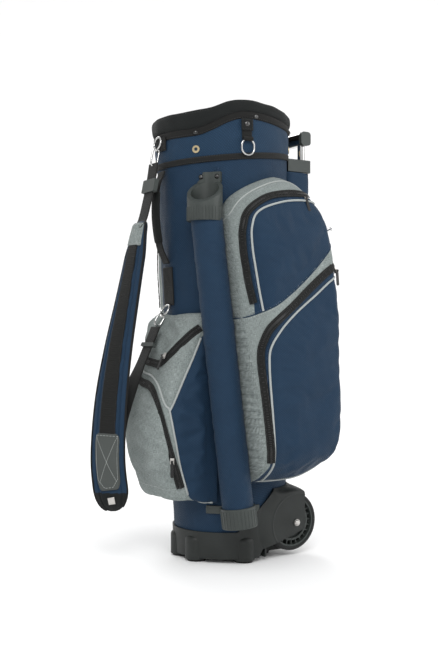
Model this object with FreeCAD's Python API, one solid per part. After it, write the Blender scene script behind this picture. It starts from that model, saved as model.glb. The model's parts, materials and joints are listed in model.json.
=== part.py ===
"""Golf cart bag with wheels, telescopic pull handle, putter tube, pockets and shoulder strap.

Millimetres.  Origin on the floor under the centre of the base.  +Z up, +X to the wheels and
the pull handle, -X to the shoulder strap, -Y to the side that carries the putter tube.
"""
import FreeCAD, Part
import math
import os

V = FreeCAD.Vector
UP = V(0, 0, 1)
ALONG_X = V(1, 0, 0)
ALONG_Y = V(0, 1, 0)

# Oval body: semi-axes and centre at the base and at the top.
BASE_Z, BASE_A, BASE_B, BASE_CX = 60.0, 116.0, 108.0, 0.0
TOP_Z, TOP_A, TOP_B, TOP_CX = 840.0, 138.0, 122.0, -20.0
FABRIC = 2.0            # thickness of the body wall
CUFF = 1.6              # thickness of the cuff fabric
BAND = 2.2              # thickness of webbing and binding

# Curved top: height of the padded rim and of the seam under it, along X.
RIM_LINE = [(-190, 862), (-133, 869), (-106, 875), (-76, 887), (-46, 892), (0, 890), (67, 884),
            (150, 880)]
SEAM_LINE = [(-190, 832), (-131, 834), (-106, 843), (-76, 860), (-48, 868), (-10, 868), (60, 862),
             (150, 857)]
BINDING_H = 13.0
COLLAR_OUT, COLLAR_IN = 5.0, -14.0
WEB_FRONT_Z, WEB_REAR_Z, WEB_H = 772.0, 802.0, 12.0

# Club dividers.
DIVIDER_X = (-82.0, -38.0, 6.0, 50.0)       # four full-length walls, from front to rear
DIVIDER_COUNTS = (2, 3, 4, 3, 2)            # openings in each of the five rows
DIVIDER_T = 4.0
DIVIDER_LOW, DIVIDER_TOP = 796.0, 852.0
PANEL_T = 1.6
STAY_R = 4.0
STAY_ANGLES = (50, 130, 230, 310)

# Base, wheel wells and feet.
CUP_LOW, CUP_FLOOR = 8.0, 12.0
CUP_WALL = 3.0
GAP = 0.3
BASE_EDGE = [(-220, 60), (-48, 60), (34, 138), (220, 138)]
WELL_X, WELL_Y, WELL_TOP = 14.0, 68.0, 138.0
TUNNEL_X, TUNNEL_TOP = 71.0, 83.0
FOOT_ANGLES = (105, 162)                    # front feet, degrees from +X on both sides
FOOT_R, FOOT_PAD = 22.0, 4.0
REAR_FOOT = (50.0, 42.0)
CENTRE_FOOT_R = 20.0

# Wheels and axle.
WHEEL_X, WHEEL_Y, WHEEL_Z = 82.0, 91.0, 69.0
WHEEL_R, TYRE_IN, WHEEL_W = 58.0, 50.0, 26.0
AXLE_R, AXLE_HALF = 4.0, 120.0
BUSH_R = 8.0
RUN = 0.05                                  # radial running clearance
SPOKES = 24
HOUSING_R, HOUSING_WALL, HOUSING_Y = 63.5, 2.5, 116.5
HOUSING_REAR = 103.0

# Putter tube.
TUBE_TOP = V(-127, -110, 690)
TUBE_LOW = V(-67, -137, 92)
TUBE_R, TUBE_WALL = 30.0, 1.6
RING_R, RING_BORE = 33.5, 26.5
RING_LOW, RING_LIP, RING_BACK = 655.0, 688.0, 738.0
CUP_R = 33.5

# Pull handle.
POLE_X, POLE_Y = 138.0, 57.0
OUTER_R, MID_R, INNER_R = 11.0, 9.3, 7.8
SLIDE_GAP = 0.1
BRACKET_LOW, BRACKET_TOP = 774.0, 799.0
ANCHOR_LOW, ANCHOR_TOP = 172.0, 194.0
GRIP_LOW, GRIP_TOP, GRIP_HALF = 830.0, 858.0, 74.0
GRIP_DEPTH, END_CAP = 24.0, 8.0
BUTTON_TRAVEL = 3.5

# Side pockets stop this far from the middle at the back, beside the pull handle.
POCKET_REAR_Y = 79.0
FRONT_POCKET_HALF, FRONT_POCKET_BACK, FRONT_POCKET_CORNER = 92.0, 88.0, 80.0

# Shoulder strap, in the plane Y = 0.
STRAP_HALF_W, PAD_HALF_W, PAD_T, WEB_T = 19.0, 33.0, 20.0, 3.0
RING_WIRE, RING_MAJOR = 2.0, 13.0
HOOK_WIRE, HOOK_R = 1.8, 7.0
# Each end: top of the ring, direction it is pulled in, straight length of its hook.
UPPER_END = (V(-165.5, 0, 827), V(-0.2, 0, -0.98).normalize(), 22.0)
LOWER_END = (V(-144.5, 0, 500), V(-0.55, 0, -0.835).normalize(), 12.0)
UPPER_WEB = [(-177.4, 768), (-181, 747), (-188, 713), (-201, 664)]
PAD_LINE = [(-202, 662), (-214, 605), (-233, 510), (-253, 410), (-268, 310), (-274, 210),
            (-267, 140), (-258, 106)]
PAD_TWIST = (0, 4, 12, 24, 38, 48, 52, 52)     # degrees about its own line, one for each point
LOWER_WEB = [(-172, 457), (-188, 422), (-205, 385), (-226, 340), (-237, 311)]


def lerp(a, b, t):
    return a + (b - a) * t


def section(z):
    """Centre and semi-axes of the body at a height."""
    t = (z - BASE_Z) / (TOP_Z - BASE_Z)
    return lerp(BASE_CX, TOP_CX, t), lerp(BASE_A, TOP_A, t), lerp(BASE_B, TOP_B, t)


def oval(z, grow):
    cx, a, b = section(z)
    edge = Part.Ellipse(V(cx, 0, z), a + grow, b + grow).toShape()
    return Part.Wire([edge])


def oval_solid(z0, z1, grow):
    return Part.makeLoft([oval(z0, grow), oval(z1, grow)], True, True)


def oval_shell(z0, z1, inner, outer):
    return oval_solid(z0, z1, outer).cut(oval_solid(z0 - 1, z1 + 1, inner))


def on_body(angle, z, out=0.0):
    """Point on the body, and the outward direction there."""
    cx, a, b = section(z)
    c = math.cos(math.radians(angle))
    s = math.sin(math.radians(angle))
    normal = V(c / a, s / b, 0).normalize()
    return V(cx + a * c, b * s, z) + normal * out, normal


def box(x0, x1, y0, y1, z0, z1):
    return Part.makeBox(x1 - x0, y1 - y0, z1 - z0, V(x0, y0, z0))


def rod(r, start, end):
    return Part.makeCylinder(r, (end - start).Length, start, end - start)


def pipe(r_out, r_in, start, end):
    return rod(r_out, start, end).cut(rod(r_in, start, end))


def mirror_y(shape):
    return shape.mirror(V(0, 0, 0), ALONG_Y)


def both_sides(shape):
    return Part.makeCompound([shape, mirror_y(shape)])


def fuse(shapes):
    return shapes[0].multiFuse(shapes[1:]).removeSplitter()


def prism_xz(points, y0, y1):
    """Straight-sided outline in X and Z, from y0 to y1."""
    loop = [V(x, y0, z) for x, z in points]
    face = Part.Face(Part.makePolygon(loop + [loop[0]]))
    return face.extrude(V(0, y1 - y0, 0))


def spline_edge(points):
    curve = Part.BSplineCurve()
    curve.interpolate(points)
    return curve.toShape()


def under_line(points, drop, floor):
    """Everything below a smooth line along X, moved down by drop."""
    line = [V(x, -300, z - drop) for x, z in points]
    corners = [line[-1], V(line[-1].x, -300, floor), V(line[0].x, -300, floor), line[0]]
    sides = [Part.makeLine(corners[i], corners[i + 1]) for i in range(3)]
    face = Part.Face(Part.Wire([spline_edge(line)] + sides))
    return face.extrude(V(0, 600, 0))


def web_line_z(x):
    rear = section(WEB_REAR_Z)[0] + section(WEB_REAR_Z)[1]
    front = section(WEB_FRONT_Z)[0] - section(WEB_FRONT_Z)[1]
    return lerp(WEB_FRONT_Z, WEB_REAR_Z, (x - front) / (rear - front))


def web_slab(low, high):
    """Slanted slab that follows the webbing band."""
    x0, x1 = -220, 220
    corners = [(x0, web_line_z(x0) + low), (x1, web_line_z(x1) + low),
               (x1, web_line_z(x1) + high), (x0, web_line_z(x0) + high)]
    return prism_xz(corners, -300, 300)


def tube_axis_at(z):
    t = (z - TUBE_LOW.z) / (TUBE_TOP.z - TUBE_LOW.z)
    return TUBE_LOW + (TUBE_TOP - TUBE_LOW) * t


def ribbon(points, thickness, half_width):
    """Flat strip that follows a line in the XZ plane."""
    left, right = [], []
    for i, (x, z) in enumerate(points):
        before = points[max(i - 1, 0)]
        after = points[min(i + 1, len(points) - 1)]
        along = V(after[0] - before[0], 0, after[1] - before[1]).normalize()
        side = V(along.z, 0, -along.x) * (thickness / 2)
        left.append((x + side.x, z + side.z))
        right.append((x - side.x, z - side.z))
    return prism_xz(left + right[::-1], -half_width, half_width)


def link(centre, r_wire, r_bend, straight, normal, along):
    """Closed loop of wire with two straight sides."""
    side = normal.cross(along)
    solids = []
    for sign in (1, -1):
        end = centre + along * (sign * straight / 2)
        half = Part.makeTorus(r_bend, r_wire, end, normal)
        block = Part.makeBox(80, 80, 40, V(-40, 0, -20))
        turn = FreeCAD.Rotation(side, along * sign, normal * sign, "XYZ")
        block.Placement = FreeCAD.Placement(end, turn)
        solids.append(half.common(block))
        start = centre + side * (sign * r_bend) - along * (straight / 2)
        solids.append(rod(r_wire, start, start + along * straight))
    return fuse(solids)


# ---------------------------------------------------------------- base
def below_base_edge(drop=0.0):
    edge = [(x, z - drop) for x, z in BASE_EDGE]
    return prism_xz(edge + [(220, -20), (-220, -20)], -300, 300)


def foot_lobe(angle):
    centre = on_body(angle, BASE_Z, -FOOT_R + 8)[0]
    lobe = Part.makeCylinder(FOOT_R, BASE_Z - 14, V(centre.x, centre.y, FOOT_PAD))
    return lobe.makeFillet(9, [e for e in lobe.Edges if e.BoundBox.ZMin > BASE_Z - 12])


def front_feet():
    return [a * side for a in FOOT_ANGLES for side in (1, -1)]


def base_cup():
    outer = oval_solid(CUP_LOW, WELL_TOP + 2, GAP + CUP_WALL)
    inner = oval_solid(CUP_FLOOR, WELL_TOP + 3, GAP)
    region = outer.common(below_base_edge())
    wells = both_sides(box(WELL_X, 200, WELL_Y, 200, -5, WELL_TOP + 10))
    shell = region.cut(inner).cut(wells)
    shell = shell.cut(box(TUNNEL_X, 200, -WELL_Y + 3, WELL_Y - 3, -5, 45))
    plates = [box(TUNNEL_X - 3, 200, -WELL_Y, WELL_Y, TUNNEL_TOP - 3, TUNNEL_TOP),
              box(TUNNEL_X - 3, TUNNEL_X, -WELL_Y, WELL_Y, CUP_LOW, TUNNEL_TOP)]
    for side in (1, -1):
        y0, y1 = sorted((side * (WELL_Y - 3), side * WELL_Y))
        w0, w1 = sorted((side * (WELL_Y - 3), side * 200))
        plates.append(box(WELL_X - 3, 200, y0, y1, CUP_LOW, WELL_TOP))
        plates.append(box(WELL_X - 3, WELL_X, w0, w1, CUP_LOW, WELL_TOP))
        plates.append(box(WELL_X - 3, 200, w0, w1, WELL_TOP - 3, WELL_TOP))
    walls = [plate.common(region) for plate in plates]
    hollow = oval_solid(CUP_FLOOR, BASE_Z, GAP)
    lobes = [foot_lobe(angle).cut(hollow) for angle in front_feet()]
    stubs = [Part.makeCylinder(16, CUP_LOW - FOOT_PAD, V(REAR_FOOT[0], s * REAR_FOOT[1], FOOT_PAD))
             for s in (1, -1)]
    stubs.append(Part.makeCylinder(CENTRE_FOOT_R + 2, CUP_LOW - FOOT_PAD, V(0, 0, FOOT_PAD)))
    fabric_room = oval_shell(40, 200, -FABRIC - 0.2, GAP + 0.2).cut(below_base_edge(10.3))
    cup = fuse([shell] + walls + lobes + stubs).cut(fabric_room)
    slope = [(-8, -1), (WELL_X - 3.5, 34), (WELL_X - 3.5, -1)]
    for side in (1, -1):
        y0, y1 = sorted((side * (WELL_Y + 22), side * 200))
        cup = cup.cut(prism_xz(slope, y0, y1))
    return cup.cut(rod(AXLE_R + RUN, V(WHEEL_X, -200, WHEEL_Z), V(WHEEL_X, 200, WHEEL_Z)))


def base_feet():
    pads = []
    for angle in front_feet():
        centre = on_body(angle, BASE_Z, -FOOT_R + 8)[0]
        pads.append(Part.makeCylinder(FOOT_R - 4, FOOT_PAD, V(centre.x, centre.y, 0)))
    for side in (1, -1):
        pads.append(Part.makeCylinder(14, FOOT_PAD, V(REAR_FOOT[0], side * REAR_FOOT[1], 0)))
    pads.append(Part.makeCylinder(CENTRE_FOOT_R, FOOT_PAD))
    return Part.makeCompound(pads)


def y_disc(radius, y0, y1):
    return Part.makeCylinder(radius, y1 - y0, V(WHEEL_X, y0, WHEEL_Z), ALONG_Y)


def y_ring(r_out, r_in, y0, y1):
    return y_disc(r_out, y0, y1).cut(y_disc(r_in, y0, y1))


def wheel_housing():
    """Fender on the +Y side: an arch and an outer plate, open to the rear and below."""
    plate_y = HOUSING_Y - HOUSING_WALL
    region = prism_xz([(0, 22), (HOUSING_REAR, 55), (HOUSING_REAR, 180), (0, 180)], 0, 200)
    arch = y_ring(HOUSING_R, HOUSING_R - HOUSING_WALL, WELL_Y + GAP, plate_y)
    shell = fuse([arch, y_disc(HOUSING_R, plate_y, HOUSING_Y)]).common(region)
    boss = y_disc(9, WHEEL_Y + 17, plate_y)
    return fuse([shell, boss]).cut(y_disc(AXLE_R + RUN, 0, 200))


def housing_screws():
    """Pan-head screws that hold each fender to the wheel well."""
    heads = []
    for x in (44, 84):
        z = WHEEL_Z + math.sqrt((HOUSING_R - HOUSING_WALL - 0.2) ** 2 - (x - WHEEL_X) ** 2) - 4
        for side in (1, -1):
            start = V(x, side * (WELL_Y + 0.1), z)
            heads.append(rod(3.2, start, start + ALONG_Y * (side * 2.2)))
    return Part.makeCompound(heads)


def wheel_axle():
    shaft = rod(AXLE_R, V(WHEEL_X, -AXLE_HALF, WHEEL_Z), V(WHEEL_X, AXLE_HALF, WHEEL_Z))
    collars = both_sides(y_disc(BUSH_R, WELL_Y + GAP, WHEEL_Y - 15.7))
    return fuse([shaft] + collars.Solids)


def axle_nuts():
    y = HOUSING_Y + 0.1
    body = y_disc(6.5, y, y + 3.2)
    dome = Part.makeSphere(6.0, V(WHEEL_X, y + 1.5, WHEEL_Z)).common(y_disc(7, y, y + 12))
    return both_sides(fuse([body, dome]).cut(y_disc(AXLE_R + RUN, y - 1, AXLE_HALF + 0.3)))


def wheel_rim():
    parts = [y_ring(TYRE_IN, TYRE_IN - 3.5, WHEEL_Y - 12, WHEEL_Y + 12),
             y_ring(38, 34, WHEEL_Y - 10, WHEEL_Y + 10),
             y_ring(34.5, 11, WHEEL_Y - 3, WHEEL_Y + 3),
             y_ring(12, BUSH_R, WHEEL_Y - 15.4, WHEEL_Y + 15.4)]
    for i in range(SPOKES):
        bar = box(37, TYRE_IN - 3, -1.1, 1.1, -8, 8)
        bar.rotate(V(0, 0, 0), UP, i * 360.0 / SPOKES)
        bar.rotate(V(0, 0, 0), ALONG_X, 90)
        bar.translate(V(WHEEL_X, WHEEL_Y, WHEEL_Z))
        parts.append(bar)
    return fuse(parts)


def tyre():
    ring = y_ring(WHEEL_R, TYRE_IN, WHEEL_Y - WHEEL_W / 2, WHEEL_Y + WHEEL_W / 2)
    rims = [e for e in ring.Edges if e.BoundBox.XLength > 2 * WHEEL_R - 1 and e.BoundBox.YLength < 0.1]
    return ring.makeFillet(5, rims)


def wheel_bush():
    return y_ring(BUSH_R, AXLE_R + RUN, WHEEL_Y - 15.4, WHEEL_Y + 15.4)


# ---------------------------------------------------------------- body
def body_fabric():
    shell = oval_shell(50, 900, -FABRIC, 0)
    wells = both_sides(box(WELL_X - 4, 200, WELL_Y - 4, 200, 0, WELL_TOP + GAP))
    return shell.common(under_line(SEAM_LINE, 0, 0)).cut(below_base_edge(10)).cut(wells)


def cuff_band():
    shell = oval_shell(700, 900, 0.2, 0.2 + CUFF).common(under_line(SEAM_LINE, BINDING_H + GAP, 700))
    return shell.common(web_slab(WEB_H / 2 + GAP, 150))


def webbing_band():
    return oval_shell(700, 900, 0.2, 0.2 + BAND).common(web_slab(-WEB_H / 2, WEB_H / 2))


def collar_binding():
    shell = oval_shell(780, 900, 0.2, 0.2 + BAND).common(under_line(SEAM_LINE, GAP, 700))
    return shell.cut(under_line(SEAM_LINE, BINDING_H, 600))


def top_collar():
    shell = oval_shell(780, 920, COLLAR_IN, COLLAR_OUT).common(under_line(RIM_LINE, 0, 700))
    return shell.cut(under_line(SEAM_LINE, 0, 600))


def divider_ring():
    neck = oval_shell(DIVIDER_LOW, DIVIDER_TOP, COLLAR_IN - 4.4, COLLAR_IN - 0.4)
    flange = oval_shell(DIVIDER_LOW, DIVIDER_LOW + 4, COLLAR_IN - 1, -FABRIC - GAP)
    return fuse([neck, flange])


def row_edges():
    """The x limits of the five rows of club openings."""
    cx, a, _ = section(DIVIDER_TOP)
    inside = a + COLLAR_IN - 4.4
    return [cx - inside] + list(DIVIDER_X) + [cx + inside]


def half_width_at(x, z, grow):
    cx, a, b = section(z)
    t = (x - cx) / (a + grow)
    return (b + grow) * math.sqrt(max(0.0, 1 - t * t))


def divider_bars():
    """Grid at the top of the club wells: four long bars and nine short ones, as separate bars."""
    low, high = DIVIDER_LOW + 4.5, DIVIDER_TOP - 2
    inside = oval_solid(DIVIDER_LOW, DIVIDER_TOP, COLLAR_IN - 4.6)
    bars = []
    for x in DIVIDER_X:
        bars.append(box(x - DIVIDER_T / 2, x + DIVIDER_T / 2, -130, 130, low, high).common(inside))
    edges = row_edges()
    for row, count in enumerate(DIVIDER_COUNTS):
        x0, x1 = edges[row] + DIVIDER_T / 2 + 0.1, edges[row + 1] - DIVIDER_T / 2 - 0.1
        narrow = min(half_width_at(x0, DIVIDER_LOW, COLLAR_IN), half_width_at(x1, DIVIDER_LOW, COLLAR_IN))
        width = half_width_at((x0 + x1) / 2, DIVIDER_LOW, COLLAR_IN - 4.6) if narrow < 40 else narrow
        for i in range(1, count):
            y = -width + 2 * width * i / count
            bar = box(x0, x1, y - DIVIDER_T / 2, y + DIVIDER_T / 2, low, high)
            bars.append(bar.common(inside))
    return Part.makeCompound([bar.Solids[0] for bar in bars])


def divider_panels():
    """Full-length fabric walls under the four long bars."""
    inside = oval_solid(CUP_FLOOR, DIVIDER_TOP, -FABRIC - 10)
    panels = []
    for x in DIVIDER_X:
        low = TUNNEL_TOP + 60 if x > WELL_X else CUP_FLOOR + 4
        wall = box(x - PANEL_T / 2, x + PANEL_T / 2, -130, 130, low, DIVIDER_LOW - 0.5)
        panels.append(wall.common(inside).Solids[0])
    return Part.makeCompound(panels)


def stay_rods():
    rods = []
    for angle in STAY_ANGLES:
        low_z = WELL_TOP + 2 if math.cos(math.radians(angle)) > 0 else CUP_FLOOR + 0.5
        low = on_body(angle, low_z, -FABRIC - STAY_R - 0.7)[0]
        high = on_body(angle, DIVIDER_LOW - 0.2, -FABRIC - STAY_R - 0.7)[0]
        rods.append(rod(STAY_R, low, high))
    return Part.makeCompound(rods)


def dome(point, normal, radius, height):
    base = point + normal * 0.05
    ball_r = (radius * radius + height * height) / (2 * height)
    ball = Part.makeSphere(ball_r, base - normal * (ball_r - height))
    return ball.common(Part.makeCylinder(radius, height + 1, base, normal))


def seam_z(x):
    """Height of the collar seam, read off its own line."""
    curve = Part.BSplineCurve()
    curve.interpolate([V(px, 0, pz) for px, pz in SEAM_LINE])
    plane = Part.Plane(V(x, 0, 0), ALONG_X)
    return curve.intersect(plane)[0][0].Z


STUD_ANGLES = (35, 90, 141)
SOCKET_ANGLES = (29, 141)


def hood_snap_studs():
    studs = []
    for angle in STUD_ANGLES:
        for side in (1, -1):
            x = on_body(angle, 850)[0].x
            point, normal = on_body(side * angle, seam_z(x) - BINDING_H / 2 - 1, 0.6 + BAND)
            studs.append(dome(point, normal, 5.0, 3.6))
    return Part.makeCompound(studs)


def hood_snap_sockets():
    sockets = []
    for angle in SOCKET_ANGLES:
        for side in (1, -1):
            x = on_body(angle, 800)[0].x
            point, normal = on_body(side * angle, seam_z(x) - 40, 0.6 + CUFF)
            ring = rod(7.2, point, point + normal * 1.6)
            sockets.append(ring.cut(rod(3.4, point + normal * 0.6, point + normal * 3)))
    return Part.makeCompound(sockets)


# ---------------------------------------------------------------- putter tube
def putter_tube():
    return pipe(TUBE_R, TUBE_R - TUBE_WALL, tube_axis_at(CUP_FLOOR + 80), tube_axis_at(RING_LOW + 12))


def outward(point):
    return V(point.x, point.y, 0).normalize()


def putter_ring():
    """Scooped collar: its mouth slopes down and outward from the back tab."""
    centre = tube_axis_at(RING_LIP)
    centre = V(centre.x, centre.y, RING_LOW)
    out = outward(centre)
    side = UP.cross(out)
    body = Part.makeCylinder(RING_R, 120, centre)
    slope = (RING_BACK - RING_LIP) / (2 * RING_R)
    lip = centre + out * RING_R + UP * (RING_LIP - RING_LOW)
    tilt = FreeCAD.Rotation(side, V(out.x, out.y, -slope), V(slope * out.x, slope * out.y, 1), "ZYX")
    cutter = Part.makeBox(300, 300, 200, V(-150, -150, 0))
    cutter.Placement = FreeCAD.Placement(lip, tilt)
    body = body.cut(cutter)
    bore = Part.makeCylinder(RING_BORE, 140, centre - UP * 2)
    socket = rod(TUBE_R + 0.4, tube_axis_at(RING_LOW - 10), tube_axis_at(RING_LOW + 13))
    ring = body.cut(bore).cut(socket)
    back = centre - out * (RING_R - 4)
    tab = Part.makeBox(10, 46, 20, V(-6, -23, RING_BACK - RING_LOW - 6))
    tab.Placement = FreeCAD.Placement(back, FreeCAD.Rotation(out, side, UP, "XYZ"))
    ribs = []
    for i in range(-8, 9):
        angle = math.degrees(math.atan2(out.y, out.x)) + i * 11
        foot = centre + V(math.cos(math.radians(angle)), math.sin(math.radians(angle)), 0) * RING_R
        ribs.append(rod(1.0, foot + UP * 1.5, foot + UP * 26))
    wall = oval_solid(600, 800, 0.6)
    return fuse([ring, tab] + ribs).cut(bore).cut(wall)


def putter_cup():
    axis = TUBE_LOW - TUBE_TOP
    axis.normalize()
    top = tube_axis_at(118)
    low = tube_axis_at(80)
    cup = rod(CUP_R, top, low).cut(rod(TUBE_R + 0.15, top, low - axis * 3.5))
    ribs = []
    side = axis.cross(UP).normalize()
    other = axis.cross(side).normalize()
    for i in range(28):
        turn = 2 * math.pi * i / 28
        foot = side * (math.cos(turn) * CUP_R) + other * (math.sin(turn) * CUP_R)
        ribs.append(rod(0.9, top + foot + axis * 5, low + foot - axis * 2))
    wall = oval_solid(20, 200, GAP + CUP_WALL + 0.4)
    return fuse([cup] + ribs).cut(wall)


def putter_bracket():
    """Plate on the body behind the bottom of the tube."""
    centre, normal = on_body(-117, 104.5)
    side = UP.cross(normal)
    plate = Part.makeBox(26, 104, 15, V(-13, -52, -7.5))
    plate.Placement = FreeCAD.Placement(centre, FreeCAD.Rotation(normal, side, UP, "XYZ"))
    plate = plate.common(oval_solid(60, 200, 3.2)).cut(oval_solid(50, 210, 0.2))
    plate = plate.cut(below_base_edge(-0.5))
    return plate.cut(rod(CUP_R + 2, tube_axis_at(60), tube_axis_at(200)))


def dome_rivets():
    """Rivets of the putter ring tab, the towel tab and the strap anchor."""
    rivets = []
    centre = tube_axis_at(RING_LIP)
    out = outward(centre)
    side = UP.cross(out)
    for s in (1, -1):
        point = V(centre.x, centre.y, RING_BACK + 5) - out * (RING_R - 8.1) + side * (s * 16)
        rivets.append(dome(point, out, 4.8, 3.0))
    point, normal = on_body(TOWEL_ANGLE, 845, TOWEL_OUT + 4.1)
    rivets.append(dome(point, normal, 5.2, 1.6))
    return Part.makeCompound(rivets)


# ---------------------------------------------------------------- pockets
def side_outline():
    """Outline of a side pocket seen from the side."""
    return [V(-98, 0, 655), V(-72, 0, 705), V(-15, 0, 738), V(45, 0, 748), V(98, 0, 712),
            V(126, 0, 640), V(133, 0, 540), V(134, 0, 400), V(135, 0, 250), V(116, 0, 192),
            V(66, 0, 164), V(0, 0, 156), V(-62, 0, 160), V(-81, 0, 190), V(-83, 0, 300),
            V(-83, 0, 400), V(-84, 0, 480), V(-93, 0, 570)]


def side_depth():
    """Outer face of a side pocket seen from the front, from top to bottom."""
    return [V(0, 122, 760), V(0, 148, 735), V(0, 170, 690), V(0, 186, 620), V(0, 197, 520),
            V(0, 205, 400), V(0, 206, 290), V(0, 200, 220), V(0, 176, 172), V(0, 140, 148)]


def side_pocket():
    """Soft side pocket on the +Y side as one plain filled solid."""
    outline = Part.BSplineCurve()
    outline.interpolate(side_outline(), PeriodicFlag=True)
    body = Part.Face(Part.Wire([outline.toShape()])).extrude(V(0, 260, 0))
    depth = side_depth()
    sides = [Part.makeLine(depth[-1], V(0, 0, depth[-1].z)),
             Part.makeLine(V(0, 0, depth[-1].z), V(0, 0, depth[0].z)),
             Part.makeLine(V(0, 0, depth[0].z), depth[0])]
    face = Part.Face(Part.Wire([spline_edge(depth)] + sides))
    slab = face.extrude(V(400, 0, 0))
    slab.translate(V(-200, 0, 0))
    plan = Part.makeBox(238, 208, 700, V(-103, 0, 100))
    corners = [e for e in plan.Edges if e.BoundBox.ZLength > 690 and e.BoundBox.YMin > 200]
    plan = plan.makeFillet(32, corners)
    pocket = body.common(slab).common(plan).cut(oval_solid(100, 800, 0.5))
    handle_side = box(60, 200, -1, POCKET_REAR_Y, 90, 800)
    return pocket.cut(y_disc(HOUSING_R + 3, 60, 240)).cut(handle_side).Solids[0]


def tube_clearance():
    tube = rod(TUBE_R + 1.2, tube_axis_at(60), tube_axis_at(RING_LOW - 6))
    ring = Part.makeCylinder(RING_R + 2.5, 160, V(TUBE_TOP.x, TUBE_TOP.y, RING_LOW - 8))
    cup = rod(CUP_R + 2.2, tube_axis_at(70), tube_axis_at(122))
    return fuse([tube, ring, cup])


def front_pocket():
    line = [V(-85, 0, 484), V(-138, 0, 481), V(-157, 0, 452), V(-172, 0, 420), V(-184, 0, 390),
            V(-197, 0, 348), V(-207, 0, 290), V(-208, 0, 230), V(-199, 0, 180), V(-170, 0, 130),
            V(-85, 0, 118)]
    back = [V(0, 0, 118), V(0, 0, 484)]
    sides = [Part.makeLine(line[-1], back[0]), Part.makeLine(back[0], back[1]),
             Part.makeLine(back[1], line[0])]
    side_view = Part.Face(Part.Wire([spline_edge(line)] + sides)).extrude(V(0, 240, 0))
    side_view.translate(V(0, -120, 0))
    plan = box(-212, -FRONT_POCKET_BACK, -FRONT_POCKET_HALF, FRONT_POCKET_HALF, 50, 550)
    corners = [e for e in plan.Edges if e.BoundBox.ZLength > 490 and e.BoundBox.XMax < -200]
    plan = plan.makeFillet(FRONT_POCKET_CORNER, corners)
    return side_view.common(plan).cut(oval_solid(60, 600, 0.5)).cut(tube_clearance()).Solids[0]


# Zip ends: pivot, direction of the hanging tab, outward direction.
ZIP_NEAR_UPPER = (V(66, -169.5, 706), V(0, -0.42, -1), V(0, -1, 0.42))
ZIP_NEAR_LOWER = (V(119, -198, 566), V(0, -0.1, -1), V(0.1, -1, 0.1))
ZIP_FRONT_UPPER = (V(-185.5, -52, 403), V(-0.37, 0, -0.93), V(-0.93, 0, 0.37))
ZIP_FRONT_LOWER = (V(-181.5, -82, 203), V(0, 0, -1), V(-0.58, -0.815, 0))
TAB_L, TAB_W, TAB_T = 26.0, 6.0, 1.8


def zip_frame(spec):
    pivot, along, out = spec
    along = V(along).normalize()
    side = out.cross(along).normalize()
    face = along.cross(side).normalize()
    return pivot, along, side, face


def zip_tab(spec):
    """Flat pull that hangs from the pivot of its slider."""
    pivot, along, side, face = zip_frame(spec)
    tab = Part.makeBox(TAB_L, TAB_W, TAB_T, V(3.2, -TAB_W / 2, -TAB_T / 2))
    tab = tab.makeFillet(2.4, [e for e in tab.Edges if e.BoundBox.ZLength > TAB_T - 0.1 and
                               e.BoundBox.XMin > TAB_L])
    eye = Part.makeCylinder(2.6, 4.4, V(0, -2.2, 0), ALONG_Y)
    neck = Part.makeBox(3.6, 4.4, TAB_T, V(1.0, -2.2, -TAB_T / 2))
    pull = fuse([tab, neck, eye]).cut(Part.makeCylinder(1.05, 9, V(0, -4.5, 0), ALONG_Y))
    pull.Placement = FreeCAD.Placement(pivot, FreeCAD.Rotation(along, side, face, "XYZ"))
    return pull


def zip_slider(spec):
    """Slider body behind the tab, with two ears and the pin the tab turns on."""
    pivot, along, side, face = zip_frame(spec)
    pin = Part.makeCylinder(1.0, 7.4, V(0, -3.7, 0), ALONG_Y)
    ears = [Part.makeBox(4.0, 1.2, 4.6, V(-2, y, -3.4)) for y in (2.5, -3.7)]
    plate = Part.makeBox(12, 7.4, 1.4, V(-7, -3.7, -4.6))
    slider = fuse([pin, plate] + ears)
    slider.Placement = FreeCAD.Placement(pivot, FreeCAD.Rotation(along, side, face, "XYZ"))
    return slider


def mirrored_spec(spec):
    return tuple(V(v.x, -v.y, v.z) for v in spec)


ZIP_PULLS = {"near_zip_pull_upper": ZIP_NEAR_UPPER,
             "near_zip_pull_lower": ZIP_NEAR_LOWER,
             "far_zip_pull_upper": mirrored_spec(ZIP_NEAR_UPPER),
             "far_zip_pull_lower": mirrored_spec(ZIP_NEAR_LOWER),
             "front_zip_pull_upper": ZIP_FRONT_UPPER,
             "front_zip_pull_lower": ZIP_FRONT_LOWER}


# ---------------------------------------------------------------- towel tab and grab handle
TOWEL_ANGLE = -98.6
TOWEL_OUT = 0.2 + BAND


def body_plate(angle, z0, z1, half_width, inner, outer):
    """Strip that lies against the body."""
    _, normal = on_body(angle, (z0 + z1) / 2)
    side = UP.cross(normal)
    centre = on_body(angle, z0)[0]
    block = Part.makeBox(60, 2 * half_width, z1 - z0, V(-30, -half_width, 0))
    block.Placement = FreeCAD.Placement(centre, FreeCAD.Rotation(normal, side, UP, "XYZ"))
    return block.common(oval_shell(z0 - 5, z1 + 5, inner, outer))


def towel_tab():
    return body_plate(TOWEL_ANGLE, 833, 855, 12.5, TOWEL_OUT + 2.2, TOWEL_OUT + 4.0)


def towel_webbing():
    return body_plate(TOWEL_ANGLE, 817, 854, 10.5, TOWEL_OUT + 0.2, TOWEL_OUT + 2.0)


def towel_ring():
    centre, normal = on_body(TOWEL_ANGLE, 801, TOWEL_OUT + 4.4)
    return link(centre, 1.8, 13.0, 5.0, normal, UP)


def towel_loop():
    """Fold of webbing that the ring hangs in."""
    centre, normal = on_body(TOWEL_ANGLE, 801 + 15.5, TOWEL_OUT + 4.4)
    side = UP.cross(normal)
    return pipe(3.9, 3.0, centre - side * 4, centre + side * 4)


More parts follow.
